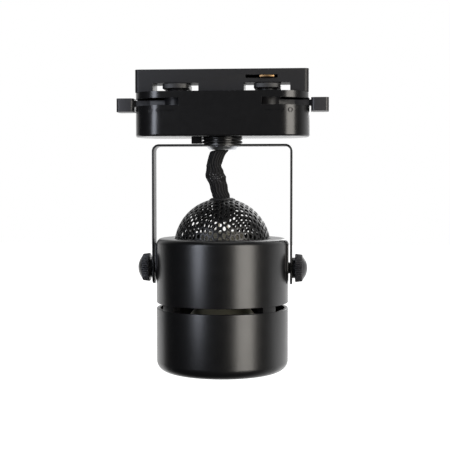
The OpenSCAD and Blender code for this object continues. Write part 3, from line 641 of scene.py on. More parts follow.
FINISHES = {
    # glass-filled nylon keeps the mould's eroded texture, so it is matt with a soft sheen
    "casing_plastic": Finish("moulded_nylon_casing", "#131314", 0.23, relief_mm=0.008),
    # the same nylon from another tool, a little greyer
    "insert_plastic": Finish("moulded_nylon_insert", "#161618", 0.46, relief_mm=0.015, ior=1.42),
    # unfilled nylon, smoother where fingers rub
    "latch_plastic": Finish("moulded_nylon_latch", "#232326", 0.42, grain_mm=1.1,
                            relief_mm=0.015),
    # plain nylon with a dull, dry face
    "wing_plastic": Finish("moulded_nylon_wing", "#232324", 0.5),
    # bright zinc plate on steel: pale grey with fine scratches
    "zinc_steel": Finish("zinc_plated_steel", "#b4b6ba", 0.34, Grain.BRUSHED, 0.35, 0.008,
                         0.12, 3.0, metallic=1.0),
    # stamped brass strip, slightly tarnished
    "contact_brass": Finish("stamped_brass", "#8c7150", 0.42, Grain.BRUSHED, 0.3, 0.008,
                            0.18, 2.5, metallic=1.0),
    # turned brass, brighter
    "insert_brass": Finish("turned_brass", "#c39a55", 0.3, Grain.BRUSHED, 0.3, 0.006,
                           0.1, 3.0, metallic=1.0),
    # soft silicone skin on the inner wires
    "wire_insulation": Finish("silicone_insulation_grey", "#b9b3a6", 0.5, grain_mm=0.6),
    "lead_insulation": Finish("silicone_insulation_cream", "#cfc8b4", 0.5, grain_mm=0.6),
    # powder coat on steel strip: satin, with a faint orange peel
    "yoke_paint": Finish("powder_coated_steel", "#0f0f10", 0.34, Grain.ORANGE_PEEL, 1.1, 0.006),
    # wet paint on the turned rings round the boss, glossier than powder
    "nut_paint": Finish("painted_steel_rings", "#0c0c0d", 0.32, Grain.ORANGE_PEEL, 1.0, 0.006),
    # braided polyester yarn: deep black, with a pale painted glint on the crowns of the yarns
    "braided_sleeve": BraidFinish("braided_polyester", "#0a0a0b", 0.72, relief_mm=0.02, ior=1.36),
    # fine satin powder coat on die-cast aluminium: near black with broad soft highlights
    "head_paint": Finish("powder_coated_aluminium", "#0b0b0c", 0.30, Grain.ORANGE_PEEL, 1.2,
                         0.010, 0.08, 16.0),
    # dipped paint on perforated sheet, thicker round the holes
    "mesh_paint": Finish("painted_perforated_steel", "#09090a", 0.38, Grain.ORANGE_PEEL, 0.8,
                         0.01),
    # moulded rubber, almost without gloss
    "grommet_rubber": Finish("moulded_rubber", "#161617", 0.6, grain_mm=0.7, relief_mm=0.03),
    # unglazed steatite: chalky, its pale colour darkened to an olive grey as painted shade from the dome over it
    "holder_ceramic": Finish("unglazed_steatite", "#858275", 0.7, Grain.SANDED, 0.5, 0.04,
                             0.05, 6.0),
    # aluminised glass shell seen from behind: grey with an olive cast
    "lamp_aluminium": Finish("aluminised_shell", "#93907d", 0.38, Grain.SANDED, 1.2, 0.01,
                             0.12, 7.0, metallic=0.35),
    "lamp_glass": Finish("clear_pressed_glass", "#f4f7f7", 0.05, Grain.ORANGE_PEEL, 3.0, 0.01,
                         0.01, 9.0, transmission=1.0),
    "capsule_glass": Finish("clear_quartz", "#f6f6f2", 0.05, Grain.ORANGE_PEEL, 2.0, 0.005,
                            0.01, 6.0, transmission=1.0),
    # nickel plate on the lamp's pins
    "pin_metal": Finish("nickel_plated_pins", "#c6c3bb", 0.22, Grain.BRUSHED, 0.3, 0.004,
                        0.06, 3.0, metallic=1.0),
    # flat black paint that swallows stray light
    "collar_paint": Finish("flat_black_paint", "#101011", 0.62, Grain.SANDED, 0.6, 0.02),
    # drawn spring wire
    "clip_steel": Finish("drawn_spring_steel", "#9c9da0", 0.3, Grain.BRUSHED, 0.3, 0.006,
                         0.1, 3.0, metallic=1.0),
    # natural black nylon washer
    "washer_plastic": Finish("nylon_washer", "#2a2a2b", 0.5),
    # satin moulded plastic with knurls
    "knob_plastic": Finish("moulded_plastic_knob", "#202023", 0.3, grain_mm=0.8,
                           relief_mm=0.01),
}
# vacuum-coated facets inside the lamp, bright with a faint warm cast
REFLECTOR = Finish("vacuum_coated_facets", "#dcd8cc", 0.12, Grain.ORANGE_PEEL, 2.0, 0.004,
                   0.03, 6.0, metallic=1.0)
# drawn tungsten wire
FILAMENT = Finish("tungsten_wire", "#7d7f82", 0.35, Grain.BRUSHED, 0.3, 0.004, 0.05, 2.0,
                  metallic=1.0)


# ---------------------------------------------------------------- assemblies

# each construction node's material slot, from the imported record
NODE_SLOTS = {row["node"]: row["material_slot"] for row in frame["record"]["subparts"]}


@dataclass
class Assembly:
    """One sub-assembly of the spotlight. Its pieces ride on one body unless it says otherwise."""

    body: str

    def fit(self, piece: bpy.types.Object, slot: str, *nodes: str,
            finish: Finish | None = None, body: str | None = None) -> bpy.types.Object:
        """Dresses a piece, makes it ride, and hides the construction nodes it stands for.

        Args:
            piece: The finished mesh.
            slot: The record's material slot.
            nodes: Construction nodes that the piece replaces.
            finish: The finish, where it isn't the slot's own.
            body: The body that carries it, where it isn't the assembly's own.

        Returns:
            The piece.
        """
        self.dress(piece, slot, finish)
        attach(piece, body or self.body)
        if nodes:
            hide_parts(*nodes)
        return piece

    def dress(self, piece: bpy.types.Object, slot: str, finish: Finish | None = None) -> None:
        """Gives a piece the finish of its slot, or the finish given, and reports it.

        Args:
            piece: The finished mesh.
            slot: The record's material slot.
            finish: The finish, where it isn't the slot's own.
        """
        piece.data.materials.clear()
        piece.data.materials.append((finish or FINISHES[slot]).material())
        log.info("%s: %d faces, %s", piece.name, len(piece.data.polygons), slot)

    def copy_nodes(self, edges: dict[str, float]) -> None:
        """Makes the rounded copies that stand for plain construction nodes.

        Args:
            edges: Node name to the width of its rounded edges, in millimetres.
        """
        for node, edge in edges.items():
            self.fit(construction_copy(node, f"{node}_form", edge), NODE_SLOTS[node], node)


@dataclass
class Adapter(Assembly):
    """The block that enters the track, its casing and what is inside."""

    body: str = "adapter"
    face_y: float = 17.0
    straight_x: float = 33.0
    ring_gap: float = 0.5
    ring_w: float = 0.95
    ring_corner: float = 0.05
    mark_z: float = -10.8
    mark_ring_x: float = 39.3
    mark_ring_r: float = 1.1
    mark_line: tuple[float, float] = (26.0, 36.2)
    arrow_l: float = 1.6
    arrow_w: float = 1.3
    bead_r: float = 0.26
    edges: dict[str, float] = field(default_factory=lambda: {
        "adapter_casing": 0.3, "track_insert": 0.35, "casing_screws": 0.12,
        "contact_springs": 0.08, "adapter_wires": 0.0})

    def build(self) -> None:
        """Makes the adapter's pieces."""
        self.copy_nodes(self.edges)
        self.fit(mesh_object("boss_ring_pair", self.rings()), "nut_paint", "boss_rings")
        for side in Side:
            self.fit(mesh_object(f"{side.word}_turn_mark", self.turn_mark(side)),
                     "casing_plastic")

    def rings(self) -> Shape:
        """The two turned rings round the boss: a rectangle with a round rim, turned round Z.

        Returns:
            Both rings.
        """
        low, high = box_mm("boss_rings")
        tall = (high[2] - low[2] - self.ring_gap) / 2
        # the two arcs of the rim nearly meet halfway up
        outer, fillet = high[0], tall / 2 - 0.02
        inner, corner = outer - self.ring_w, self.ring_corner
        pair = [revolve(rounded([
            (inner, foot, corner), (outer, foot, fillet),
            (outer, foot + tall, fillet), (inner, foot + tall, corner)], 8), 160)
            for foot in (low[2], high[2] - tall)]
        return pair[0].plus(pair[1])

    def on_face(self, x: np.ndarray, z: np.ndarray) -> np.ndarray:
        """Points on the casing's front: flat, then round where |x| passes straight_x."""
        past = np.maximum(np.abs(x) - self.straight_x, 0)
        return np.stack([x, -np.sqrt(self.face_y ** 2 - past ** 2), z], -1)

    def turn_mark(self, side: Side) -> Shape:
        """Raised beads under a lever: an arrow towards the end of the casing and a ring.

        Each bead is a circle of bead_r carried along a line or a ring on the casing's face.

        Args:
            side: The end of the casing.

        Returns:
            The beads of one mark.
        """
        bead = circle(self.bead_r, 10)
        across = np.array([0.0, 1.0, 0.0])
        low, high = self.mark_line
        turn = np.linspace(0, 2 * math.pi, 33)
        barb, spread = np.linspace(high - self.arrow_l, high, 4), np.linspace(self.arrow_w, 0, 4)
        strokes = [
            (np.linspace(low, high, 12), np.full(12, self.mark_z)),
            (barb, self.mark_z + spread), (barb, self.mark_z - spread),
            (self.mark_ring_x + self.mark_ring_r * np.cos(turn),
             self.mark_z + self.mark_ring_r * np.sin(turn))]
        beads = [swept(self.on_face(side.value * x, z), bead, across) for x, z in strokes]
        return beads[0].plus(*beads[1:])


@dataclass
class Latch(Assembly):
    """A latch lever with its lock wing and contact."""

    body: str = ""
    side: Side = Side.LEFT
    edges: dict[str, float] = field(default_factory=lambda: {
        "lever": 0.3, "lock_wing": 0.3, "contact": 0.12, "contact_screw": 0.14})

    def build(self) -> None:
        """Makes the latch's pieces."""
        self.body = f"{self.side.word}_latch"
        self.copy_nodes({f"{self.side.word}_{k}": v for k, v in self.edges.items()})


@dataclass
class Yoke(Assembly):
    """The bent strip that carries the head, and the hollow nipple that it turns on."""

    body: str = "yoke"
    strip_w: float = 10.0
    strip_t: float = 1.2
    bend_r: float = 4.0
    eye_r: float = 11.6
    edge: float = 0.22
    eye_bore_r: float = 5.05
    eye_cut: float = 3.0
    arm_bore_r: float = 2.05
    arm_cut: float = 5.0
    edges: dict[str, float] = field(default_factory=lambda: {
        "pan_nipple": 0.2, "spring_washer": 0.08, "stop_washer": 0.12, "nipple_locknut": 0.25,
        "swivel_nut": 0.25})

    def build(self) -> None:
        """Makes the yoke's pieces."""
        self.copy_nodes(self.edges)
        low, high = box_mm("yoke")
        strip = mesh_object("yoke_strip", self.strip(low, high))
        pivot_z = joint_mm("tilt")[2]
        hole = slab(circle(self.eye_bore_r, 64), high[2] - self.eye_cut,
                    high[2] + self.eye_cut, 0)
        cut_away(strip, mesh_object("cutter", hole))
        for side in Side:
            hole = slab(circle(self.arm_bore_r, 48), high[0] - self.arm_cut,
                        high[0] + self.arm_cut, 0)
            cut_away(strip, mesh_object("cutter", hole.moved(axis_x(side, pivot_z))))
        strip.data.set_sharp_from_angle(angle=math.radians(SMOOTH_DEG))
        self.fit(strip, "yoke_paint", "yoke")

    def strip(self, low: np.ndarray, high: np.ndarray) -> Shape:
        """The strip: a rounded rectangle carried down, across and up again.

        Its half width is half the strip's, sqrt(half^2 - d^2) within half a width of each end,
        and sqrt(eye_r^2 - x^2) round the pan axis.

        Args:
            low: The yoke's lowest corner.
            high: The yoke's highest corner.

        Returns:
            The closed surface.
        """
        half, mid_r = self.strip_w / 2, self.bend_r - self.strip_t / 2
        arm_x, bar_z = high[0] - self.strip_t / 2, high[2] - self.strip_t / 2
        # x, z and half width along the right half; the first section still has some width
        turn = np.linspace(0.04, math.pi / 2, 14)
        end = np.stack([np.full(len(turn), arm_x), low[2] + half * (1 - np.cos(turn)),
                        half * np.sin(turn)], 1)
        bend = np.linspace(0, math.pi / 2, 11)
        corner = np.stack([arm_x - mid_r + mid_r * np.cos(bend),
                           bar_z - mid_r + mid_r * np.sin(bend), np.full(len(bend), half)], 1)
        eye_x = math.sqrt(self.eye_r ** 2 - half ** 2)
        round_eye = np.linspace(math.asin(half / self.eye_r), math.pi / 2, 26)
        eye = np.stack([self.eye_r * np.cos(round_eye), np.full(len(round_eye), bar_z),
                        self.eye_r * np.sin(round_eye)], 1)
        # a small fillet where the bar meets the eye
        lead_in = np.array([[eye_x + 0.6, bar_z, half], [eye_x + 0.15, bar_z, half + 0.08]])
        right = np.concatenate([end, corner, lead_in, eye])
        left = right[::-1][1:] * [-1, 1, 1]
        route = np.concatenate([right, left])
        path = np.stack([route[:, 0], np.zeros(len(route)), route[:, 1]], 1)
        t = self.strip_t / 2
        sections = []
        for width in route[:, 2]:
            # the edges of the narrowest sections stay under half their width
            e = min(self.edge, width * 0.45)
            sections.append(rounded([(-t, -width, e), (t, -width, e), (t, width, e),
                                     (-t, width, e)], 3))
        return swept(path, np.array(sections), np.array([0.0, 1.0, 0.0]))


@dataclass
class Sleeve(Assembly):
    """The braided sleeve over the leads, from the swivel nut into the dome."""

    body: str = "head"
    yarn_mm: float = 0.78
    relief_mm: float = 0.11
    # radius of a round tube with about the same girth, which sets the map and the yarn count
    mean_r: float = 4.2
    rows: int = 250
    columns: int = 192
    smooth_deg: float = 60.0
    # down the visible sleeve: distance below the nipple, x, half width, half depth
    knots: tuple = (
        (-0.9, 0.0, 3.3, 3.3), (0.0, -0.1, 3.35, 3.35), (0.3, -1.0, 4.3, 3.5),
        (0.9, -2.0, 4.7, 3.7), (1.9, -2.75, 4.4, 3.8), (3.9, -3.6, 4.2, 3.8),
        (6.2, -4.3, 4.1, 3.8), (8.3, -4.8, 4.0, 3.8), (9.6, -4.85, 4.15, 3.7),
        (10.8, -4.6, 4.6, 3.5), (12.0, -4.4, 4.95, 3.3), (13.2, -4.4, 5.25, 3.2),
        (14.4, -4.2, 5.6, 3.1), (15.4, -3.9, 5.85, 3.0), (16.6, -3.65, 5.55, 3.1),
        (17.8, -3.3, 5.2, 3.2), (19.0, -2.8, 4.95, 3.3), (20.2, -2.35, 4.85, 3.3),
        (22.4, -1.95, 4.8, 3.4), (24.7, -1.4, 4.7, 3.4), (26.6, -0.8, 4.8, 3.4),
        (28.4, -0.3, 4.8, 3.4))
    # inside the dome, from its top to the lampholder: share of the drop and the same three
    inner_knots: tuple = (
        (0.0, -0.3, 4.7, 3.4), (0.3, -0.2, 4.5, 3.2), (0.7, -0.1, 4.4, 3.0),
        (1.0, 0.0, 4.2, 2.8))
    # where the flattened bend opens the yarns: distance below the nipple, and reach
    bend_at: float = 15.8
    bend_reach: float = 3.2
    # lengthwise pleats: depth, number round the tube, how far they drift and sway, and phase
    pleats: tuple = ((0.16, 4, 0.0, 1.6, 0.4), (0.13, 9, -2.0, 0.0, 1.1),
                     (0.17, 17, 3.0, 0.0, 0.0), (0.07, 29, -4.0, 0.0, 0.7))
    # the pleats fade out over this length at both ends
    pleat_fade: float = 2.0

    def build(self) -> None:
        """Makes the visible sleeve, which rides on no body, and the stretch inside the dome."""
        low, high = box_mm("cable_sleeve")
        nipple = box_mm("pan_nipple")[0][2]
        knots = np.array(self.knots)
        knots[:, 0] = nipple - knots[:, 0] * (nipple - low[2]) / knots[-1, 0]
        shape = self.braid(knots, self.rows, nipple - self.bend_at)
        outer = mesh_object("sleeve_braid", shape, self.smooth_deg)
        self.dress(outer, "braided_sleeve")
        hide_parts("cable_sleeve")
        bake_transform(outer)
        low, high = box_mm("inner_sleeve")
        knots = np.array(self.inner_knots)
        knots[:, 0] = high[2] - knots[:, 0] * (high[2] - low[2])
        shape = self.braid(knots, self.rows // 2, high[2] + self.bend_at)
        self.fit(mesh_object("inner_sleeve_braid", shape, self.smooth_deg), "braided_sleeve",
                 "inner_sleeve")
        self.copy_nodes({"lamp_leads": 0.0})

    def braid(self, knots: np.ndarray, rows: int, bend_z: float) -> Shape:
        """A flattened braided tube with level rings, lengthwise pleats and one sharp bend.

        The centre, half width and half depth are smooth curves through the knots, read at even
        heights. On the point at angle f round the tube and u mm down it, the radius grows by
        the sum of the pleats, which are a few sines of f that drift and sway with u, and of the
        yarns: with p and q the yarn numbers along the two diagonals, one family stands up
        where sin(pi p) sin(pi q) > 0 and the other elsewhere, each with the height |cos|
        across its own yarn. Near the bend the yarns stand apart and their relief grows. The
        crown is a painted glint: a little pale colour on the crests of the pleats, and near
        the bend a pale knuckle on every other crossing.

        Args:
            knots: (height, x, half width, half depth) rows from the top down.
            rows: Rows of points down the tube.
            bend_z: Height of the bend.

        Returns:
            The closed surface with its map: millimetres down and round the tube.
        """
        line = smooth_path(knots, rows * 4)[::-1]
        z = np.linspace(knots[0, 0], knots[-1, 0], rows)
        x, wide, deep = (np.interp(z, line[:, 0], line[:, i]) for i in (1, 2, 3))
        u = np.concatenate([[0], np.cumsum(np.hypot(np.diff(x), np.diff(z)))])
        f = np.linspace(0, 2 * math.pi, self.columns, endpoint=False)
        girth = 2 * math.pi * self.mean_r
        around = f / (2 * math.pi) * girth
        uu, ff = u[:, None], f[None]
        yarns = round(girth * math.cos(math.radians(YARN_DEG)) / self.yarn_mm / 2) * 2
        slope = math.tan(math.radians(90 - YARN_DEG)) / self.yarn_mm / 4
        p = ff / (2 * math.pi) * yarns + uu * slope
        q = ff / (2 * math.pi) * yarns - uu * slope
        over = np.tanh(4 * np.sin(math.pi * p) * np.sin(math.pi * q))
        yarn = 0.5 * (1 + over) * np.abs(np.cos(math.pi * p)) \
            + 0.5 * (1 - over) * np.abs(np.cos(math.pi * q))
        drift = 0.5 * np.sin(0.33 * uu) + 0.3 * np.sin(0.71 * uu + 1.0)
        sway = np.sin(0.31 * uu)
        pleats = sum(depth * np.sin(number * ff + drifts * drift + sways * sway + phase)
                     for depth, number, drifts, sways, phase in self.pleats)
        opened = np.exp(-((z[:, None] - bend_z + 0.8 * np.cos(ff)) / self.bend_reach) ** 2)
        ends = np.minimum(z[0] - z, z - z[-1])[:, None]
        grown = pleats * np.clip(ends / self.pleat_fade, 0.1, 1) * (1 - 0.5 * opened) \
            + self.relief_mm * (0.6 + 0.9 * opened) * (yarn - 0.6)
        points = np.stack([x[:, None] + (wide[:, None] + grown) * np.cos(ff),
                           (deep[:, None] + grown) * np.sin(ff),
                           np.broadcast_to(z[:, None], grown.shape)], -1)
        # painted glint, as pale fibres: a little on the crests of the pleats, and on the knuckles of the bend
        crest = 0.10 * np.clip(np.sin(17 * ff + 3.0 * drift), 0, 1) * yarn
        half_p = math.pi / 2 * (p + 0.8 * np.sin(3 * ff + 0.9 * uu))
        half_q = math.pi / 2 * (q + 0.8 * np.sin(4 * ff - 0.7 * uu + 1.0))
        knuckle = (np.cos(half_p) * np.cos(half_q)) ** 2 + (np.sin(half_p) * np.sin(half_q)) ** 2
        patchy = 0.55 + 0.45 * np.sin(5 * ff + 2.1 * uu) * np.sin(3 * ff - 3.3 * uu)
        crown = crest * (1 - opened) + np.clip(3.4 * knuckle - 2.4, 0, 1) * patchy * opened ** 2
        return Shape(points.reshape(-1, 3), tube_faces(rows, self.columns),
                     self.map_of(u, around, girth), crown)

    def map_of(self, u: np.ndarray, around: np.ndarray, girth: float) -> np.ndarray:
        """The map of a tube's quads and its two caps: (u, around) at each face corner.

        Args:
            u: Millimetres down the tube at each ring.
            around: Millimetres round the tube at each of a ring's points.
            girth: Millimetres round the whole ring, for the corners that close it.

        Returns:
            (n, 2) places, with the caps at zero.
        """
        ahead = np.append(around[1:], girth)
        corners = [np.stack(np.broadcast_arrays(down[:, None], along[None]), -1)
                   for down, along in ((u[:-1], around), (u[:-1], ahead), (u[1:], ahead),
                                       (u[1:], around))]
        quads = np.stack(corners, 2).reshape(-1, 2)
        return np.concatenate([quads, np.zeros((2 * len(around), 2))])


@dataclass
class Head(Assembly):
    """The rear housing and the front ring, with what fastens them."""

    body: str = "head"
    radius: float = 37.9
    wall: float = 2.0
    rim_fillet: float = 3.3
    ring_fillet: float = 6.0
    mouth_r: float = 30.5
    vent_gap: float = 3.1
    dome_hole_r: float = 27.9
    ledge_r: float = 30.9
    ledge_t: float = 2.0
    ledge_drop: float = 14.1
    rib_deg: float = 48.7
    rib_span: float = 15.0
    rib_over: float = 0.8
    tab_t: float = 3.2
    tab_over: float = 2.5
    flat_w: float = 16.0
    pad_top_drop: float = 2.8
    pad_edge: float = 0.3
    post_x: float = 29.7
    post_r: float = 2.9
    boss_r: float = 4.9
    boss_l: float = 3.8
    segments: int = 256
    smooth_deg: float = 40.0
    edges: dict[str, float] = field(default_factory=lambda: {
        "rib_screws": 0.12, "pivot_inserts": 0.12, "lampholder": 0.5,
        "lampholder_bracket": 0.2, "bracket_screws": 0.15, "holder_screws": 0.15,
        "left_pivot_washer": 0.1, "right_pivot_washer": 0.1,
        "lamp_pins": 0.2, "lamp_clip": 0.0, "lamp_collar": 0.2})

    def build(self) -> None:
        """Makes the head's pieces."""
        self.copy_nodes(self.edges)
        _, high = box_mm("rear_housing")
        ring_low, ring_high = box_mm("front_ring")
        rim = high[2]
        bottom = ring_high[2] + self.vent_gap
        housing = self.housing(rim, bottom, ring_high[2])
        self.fit(mesh_object("housing_shell", housing, self.smooth_deg), "head_paint",
                 "rear_housing")
        ring = self.ring(ring_low[2], ring_high[2], bottom - self.ledge_drop)
        self.fit(mesh_object("ring_shell", ring, self.smooth_deg), "head_paint", "front_ring")

    def housing(self, rim: float, bottom: float, ring_top: float) -> Shape:
        """The rear casting: a cup with a hole for the dome, and what stands on it.

        The cup is a rounded profile turned round Z.

        Args:
            rim: Height of its flat top.
            bottom: Height of its lower edge, over the vent gap.
            ring_top: Height of the front ring's upper edge, where the ribs end.

        Returns:
            The casting.
        """
        r, inner, f = self.radius, self.radius - self.wall, self.rim_fillet
        cup = revolve(rounded([
            (self.dome_hole_r, rim, 0.5), (r, rim, f), (r, bottom, 0.35),
            (inner, bottom, 0.25), (inner, rim - self.wall, 2.0),
            (self.dome_hole_r, rim - self.wall, 0.3)], 10), self.segments)
        return cup.plus(*self.ribs(inner, bottom, ring_top), *self.mounts(inner, rim))

    def ribs(self, inner: float, bottom: float, ring_top: float) -> list[Shape]:
        """The ribs over the vent gap and their screw tabs: short turns of a rectangle.

        Args:
            inner: Radius inside the cup's wall.
            bottom: Height of the cup's lower edge.
            ring_top: Height of the front ring's upper edge.

        Returns:
            A rib and a tab for each of the four places.
        """
        # a hair clear of the casing's skin, of the front ring and of the ledge
        outer, foot, ledge = self.radius - 0.03, ring_top + 0.02, bottom - self.ledge_drop + 0.05
        back, top = inner - 0.5, bottom + self.rib_over
        rib = rounded([(back, foot, 0.1), (outer, foot, 0.1), (outer, top, 0.1),
                       (back, top, 0.1)], 2)
        deep, skin, top = inner - self.tab_t, inner - 0.1, bottom + self.tab_over
        tab = rounded([(deep, ledge, 0.3), (skin, ledge, 0.2), (skin, top, 0.2),
                       (deep, top, 0.8)], 3)
        firsts = [centre - 90 - self.rib_span / 2 for centre in (
            self.rib_deg, -self.rib_deg, 180 - self.rib_deg, 180 + self.rib_deg)]
        return [revolve(profile, 12, first, self.rib_span)
                for first in firsts for profile in (rib, tab)]

    def mounts(self, inner: float, rim: float) -> list[Shape]:
        """What stands at the head's two sides: outlines carried along their own axes.

        Args:
            inner: Radius inside the cup's wall.
            rim: Height of the cup's flat top.

        Returns:
            A flat pad, a boss for the pivot and a post for the bracket on each side.
        """
        pivot = joint_mm("tilt")[2]
        face = -box_mm("rear_housing")[0][0]
        half, top = self.flat_w / 2, rim - self.pad_top_drop
        below = np.linspace(math.pi, 2 * math.pi, 33)
        pad = np.concatenate([
            np.stack([half * np.cos(below), pivot + half * np.sin(below)], 1),
            rounded([(half, pivot, 0), (half, top, 1.0), (-half, top, 1.0),
                     (-half, pivot, 0)], 5, False)[1:-1]])
        # a hair over the bracket, and sunk a little into the cup's top
        post = slab(circle(self.post_r, 32), box_mm("lampholder_bracket")[1][2] + 0.05,
                    rim - self.wall + 0.2, 0.2)
        boss = slab(circle(self.boss_r, 48), inner + 0.5 - self.boss_l, inner + 0.5, 0.4)
        pieces = []
        for side in Side:
            upright = Matrix(((0, 0, side.value, 0), (1, 0, 0, 0), (0, 1, 0, 0), (0, 0, 0, 1)))
            pieces += [slab(pad, inner + 0.4, face, self.pad_edge).moved(upright),
                       boss.moved(axis_x(side, pivot)),
                       post.moved(Matrix.Translation((side.value * self.post_x, 0, 0)))]
        return pieces

    def ring(self, low: float, high: float, ledge: float) -> Shape:
        """The front casting: a turned profile with a deep lower fillet, a lip and a ledge.

        Args:
            low: Height of the mouth's face.
            high: Height of the upper edge, under the vent gap.
            ledge: Height of the ledge that the tabs stand on.

        Returns:
            The casting.
        """
        r, inner = self.radius, self.radius - self.wall
        profile = rounded([
            (r, high, 0.35), (r, low, self.ring_fillet), (self.mouth_r, low, 0.7),
            (self.mouth_r, low + self.wall, 0.5), (inner, low + self.wall, 4.0),
            (inner, ledge - self.ledge_t, 0.3), (self.ledge_r, ledge - self.ledge_t, 0.3),
            (self.ledge_r, ledge, 0.3), (inner, ledge, 0.3), (inner, high, 0.25)], 12)
        return revolve(profile, self.segments)


@dataclass
class Dome(Assembly):
    """The perforated dome that lets the heat out behind the lamp."""

    body: str = "head"
    radius: float = 27.8
    sink: float = 4.9
    wall: float = 0.6
    pitch: float = 3.25
    hole_r: float = 1.1
    hole_points: int = 24
    edge: float = 0.1
    uneven: float = 0.06
    warp: float = 0.4
    flat_r: float = 34.0
    neck_r: float = 6.1
    grommet_bore_r: float = 5.25
    grommet_lip_r: float = 7.5
    grommet_lip_t: float = 0.35
    grommet_under_r: float = 6.6
    grommet_under_t: float = 0.8
    first_hole: float = 5.4
    last_hole: float = 35.4
    foot_up: float = 3.0
    flange_r: float = 30.3
    flange_drop: float = 2.85
    flange_t: float = 0.8
    turn_deg: float = 32.0
    smooth_deg: float = 50.0

    def build(self) -> None:
        """Makes the dome."""
        rim = box_mm("rear_housing")[1][2]
        centre = rim - self.sink
        self.fit(mesh_object("grommet_ring", self.grommet(centre)), "grommet_rubber",
                 "dome_grommet")
        # the sheet's faces point outwards as made, so they aren't turned again
        sheet = mesh_object("mesh_dome_sheet", self.sheet(centre), self.smooth_deg, outward=False)
        self.fit(sheet, "mesh_paint", "mesh_dome")
        band = self.band(centre + self.foot_up + 0.1, rim - self.flange_drop)
        self.fit(mesh_object("mesh_dome_foot", band), "mesh_paint")

    def band(self, top: float, bottom: float) -> Shape:
        """The plain foot of the dome and its flange: a stepped profile turned round Z.

        Args:
            top: Height just over the sheet's lower edge.
            bottom: Height of the flange's underside.

        Returns:
            The band.
        """
        foot = math.sqrt(self.radius ** 2 - self.foot_up ** 2)
        return revolve(rounded([
            (foot + 0.02, top, 0.1), (self.radius - 0.1, bottom + self.flange_t, 0.1),
            (self.flange_r, bottom + self.flange_t, 0.2), (self.flange_r, bottom, 0.2),
            (foot - self.wall - 0.6, bottom, 0.2), (foot - self.wall - 0.02, top, 0.1)], 2), 128)

    def grommet(self, centre: float) -> Shape:
        """The rubber ring at the pole: a neck in the sheet between two lips that follow it.

        Args:
            centre: Height of the sphere's centre.

        Returns:
            The ring.
        """
        out = self.radius + 0.05
        under = self.radius - self.wall - 0.05

        def on(radius: float, sphere: float) -> float:
            """Height of a sphere's surface at a radius from Z."""
            return centre + math.sqrt(sphere ** 2 - radius ** 2)

        bore, neck, lip = self.grommet_bore_r, self.neck_r - 0.05, self.grommet_lip_r
        inner = self.grommet_under_r
        # the lower lip under the sheet, the neck in its hole, and the upper lip on it
        return revolve(rounded([
            (bore, on(bore, under) - 1.2, 0.3), (inner, on(inner, under) - self.grommet_under_t, 0.3),
            (inner + 0.2, on(inner + 0.2, under), 0.1), (neck, on(neck, under), 0.05),
            (neck, on(neck, out), 0.05), (lip, on(lip, out), 0.1),
            (lip, on(lip, out) + self.grommet_lip_t, 0.15),
            (neck + 0.2, on(neck, out) + 0.75, 0.5), (bore, on(bore, out) + 0.7, 0.3)], 3), 96)

    def sheet(self, centre: float) -> Shape:
        """The punched and drawn sheet.

        Hexagonal cells are laid on a plane, each with points on its border and rings of them
        round its hole, whose radius varies a little from hole to hole. Drawing strains the
        plane and stretches it: a point at distance s and bearing b on it goes to the sphere
        at the angle s (1 + k s / flat_r) / radius from the pole, on the same bearing, where k
        brings flat_r to the foot. Points nearer the pole than the neck, or past the foot, are
        held there.

        Args:
            centre: Height of the sphere's centre.

        Returns:
            The sheet, with both faces and the walls of its holes.
        """
        # more steps of the pitch than last_hole needs to either side
        step = np.arange(-14, 15)
        i, j = (grid.ravel() for grid in np.meshgrid(step, step))
        x, y = self.pitch * (i + j / 2), self.pitch * j * math.sqrt(3) / 2
        turn = math.radians(self.turn_deg)
        x, y = x * math.cos(turn) - y * math.sin(turn), x * math.sin(turn) + y * math.cos(turn)
        far = np.hypot(x, y)
        keep = (far > self.first_hole) & (far < self.last_hole)
        x, y = x[keep, None], y[keep, None]
        hole = self.hole_r * (1 + self.uneven * np.sin(2.1 * i + 3.7 * j))[keep, None]
        angle = 2 * math.pi * np.arange(self.hole_points) / self.hole_points
        sixth = (angle + math.pi / 6) % (math.pi / 3) - math.pi / 6
        border = self.pitch / 2 / np.cos(sixth) * np.ones_like(hole)
        # the hole's edge is a chamfer in two steps, broken at this share of its width
        lip = self.edge * 0.3
        # from the outer face through the hole to the inner one: reach, depth
        rings = [(border, 0.0), (hole + self.edge, 0.0), (hole + lip, lip), (hole, self.edge),
                 (hole, self.wall - self.edge), (hole + self.edge, self.wall),
                 (border, self.wall)]
        foot = self.radius * math.acos(self.foot_up / self.radius)
        stretch = foot / self.flat_r - 1
        points = []
        for reach, deep in rings:
            px, py = self.strained(x + reach * np.cos(angle + turn),
                                   y + reach * np.sin(angle + turn))
            flat, b = np.hypot(px, py), np.arctan2(py, px)
            a = np.clip(flat * (1 + stretch * flat / self.flat_r), self.neck_r, foot) \
                / self.radius
            r = self.radius - deep
            points.append(np.stack([r * np.sin(a) * np.cos(b), r * np.sin(a) * np.sin(b),
                                    centre + r * np.cos(a)], -1))
        cells = np.stack(points, 1)
        one = grid_faces(len(rings), self.hole_points, False, True)
        first = np.arange(len(x)) * len(rings) * self.hole_points
        faces = (one[None] + first[:, None, None]).reshape(-1, 4).tolist()
        return Shape(cells.reshape(-1, 3), faces)

    def strained(self, x: np.ndarray, y: np.ndarray) -> tuple[np.ndarray, np.ndarray]:
        """Points of the flat sheet moved by a few long waves, by about warp mm at most."""
        return (x + self.warp * (0.7 * np.sin(0.31 * y + 0.6) + 0.5 * np.sin(0.53 * x + 1.3)),
                y + self.warp * (0.7 * np.sin(0.27 * x + 2.0) + 0.5 * np.sin(0.61 * y + 0.2)))


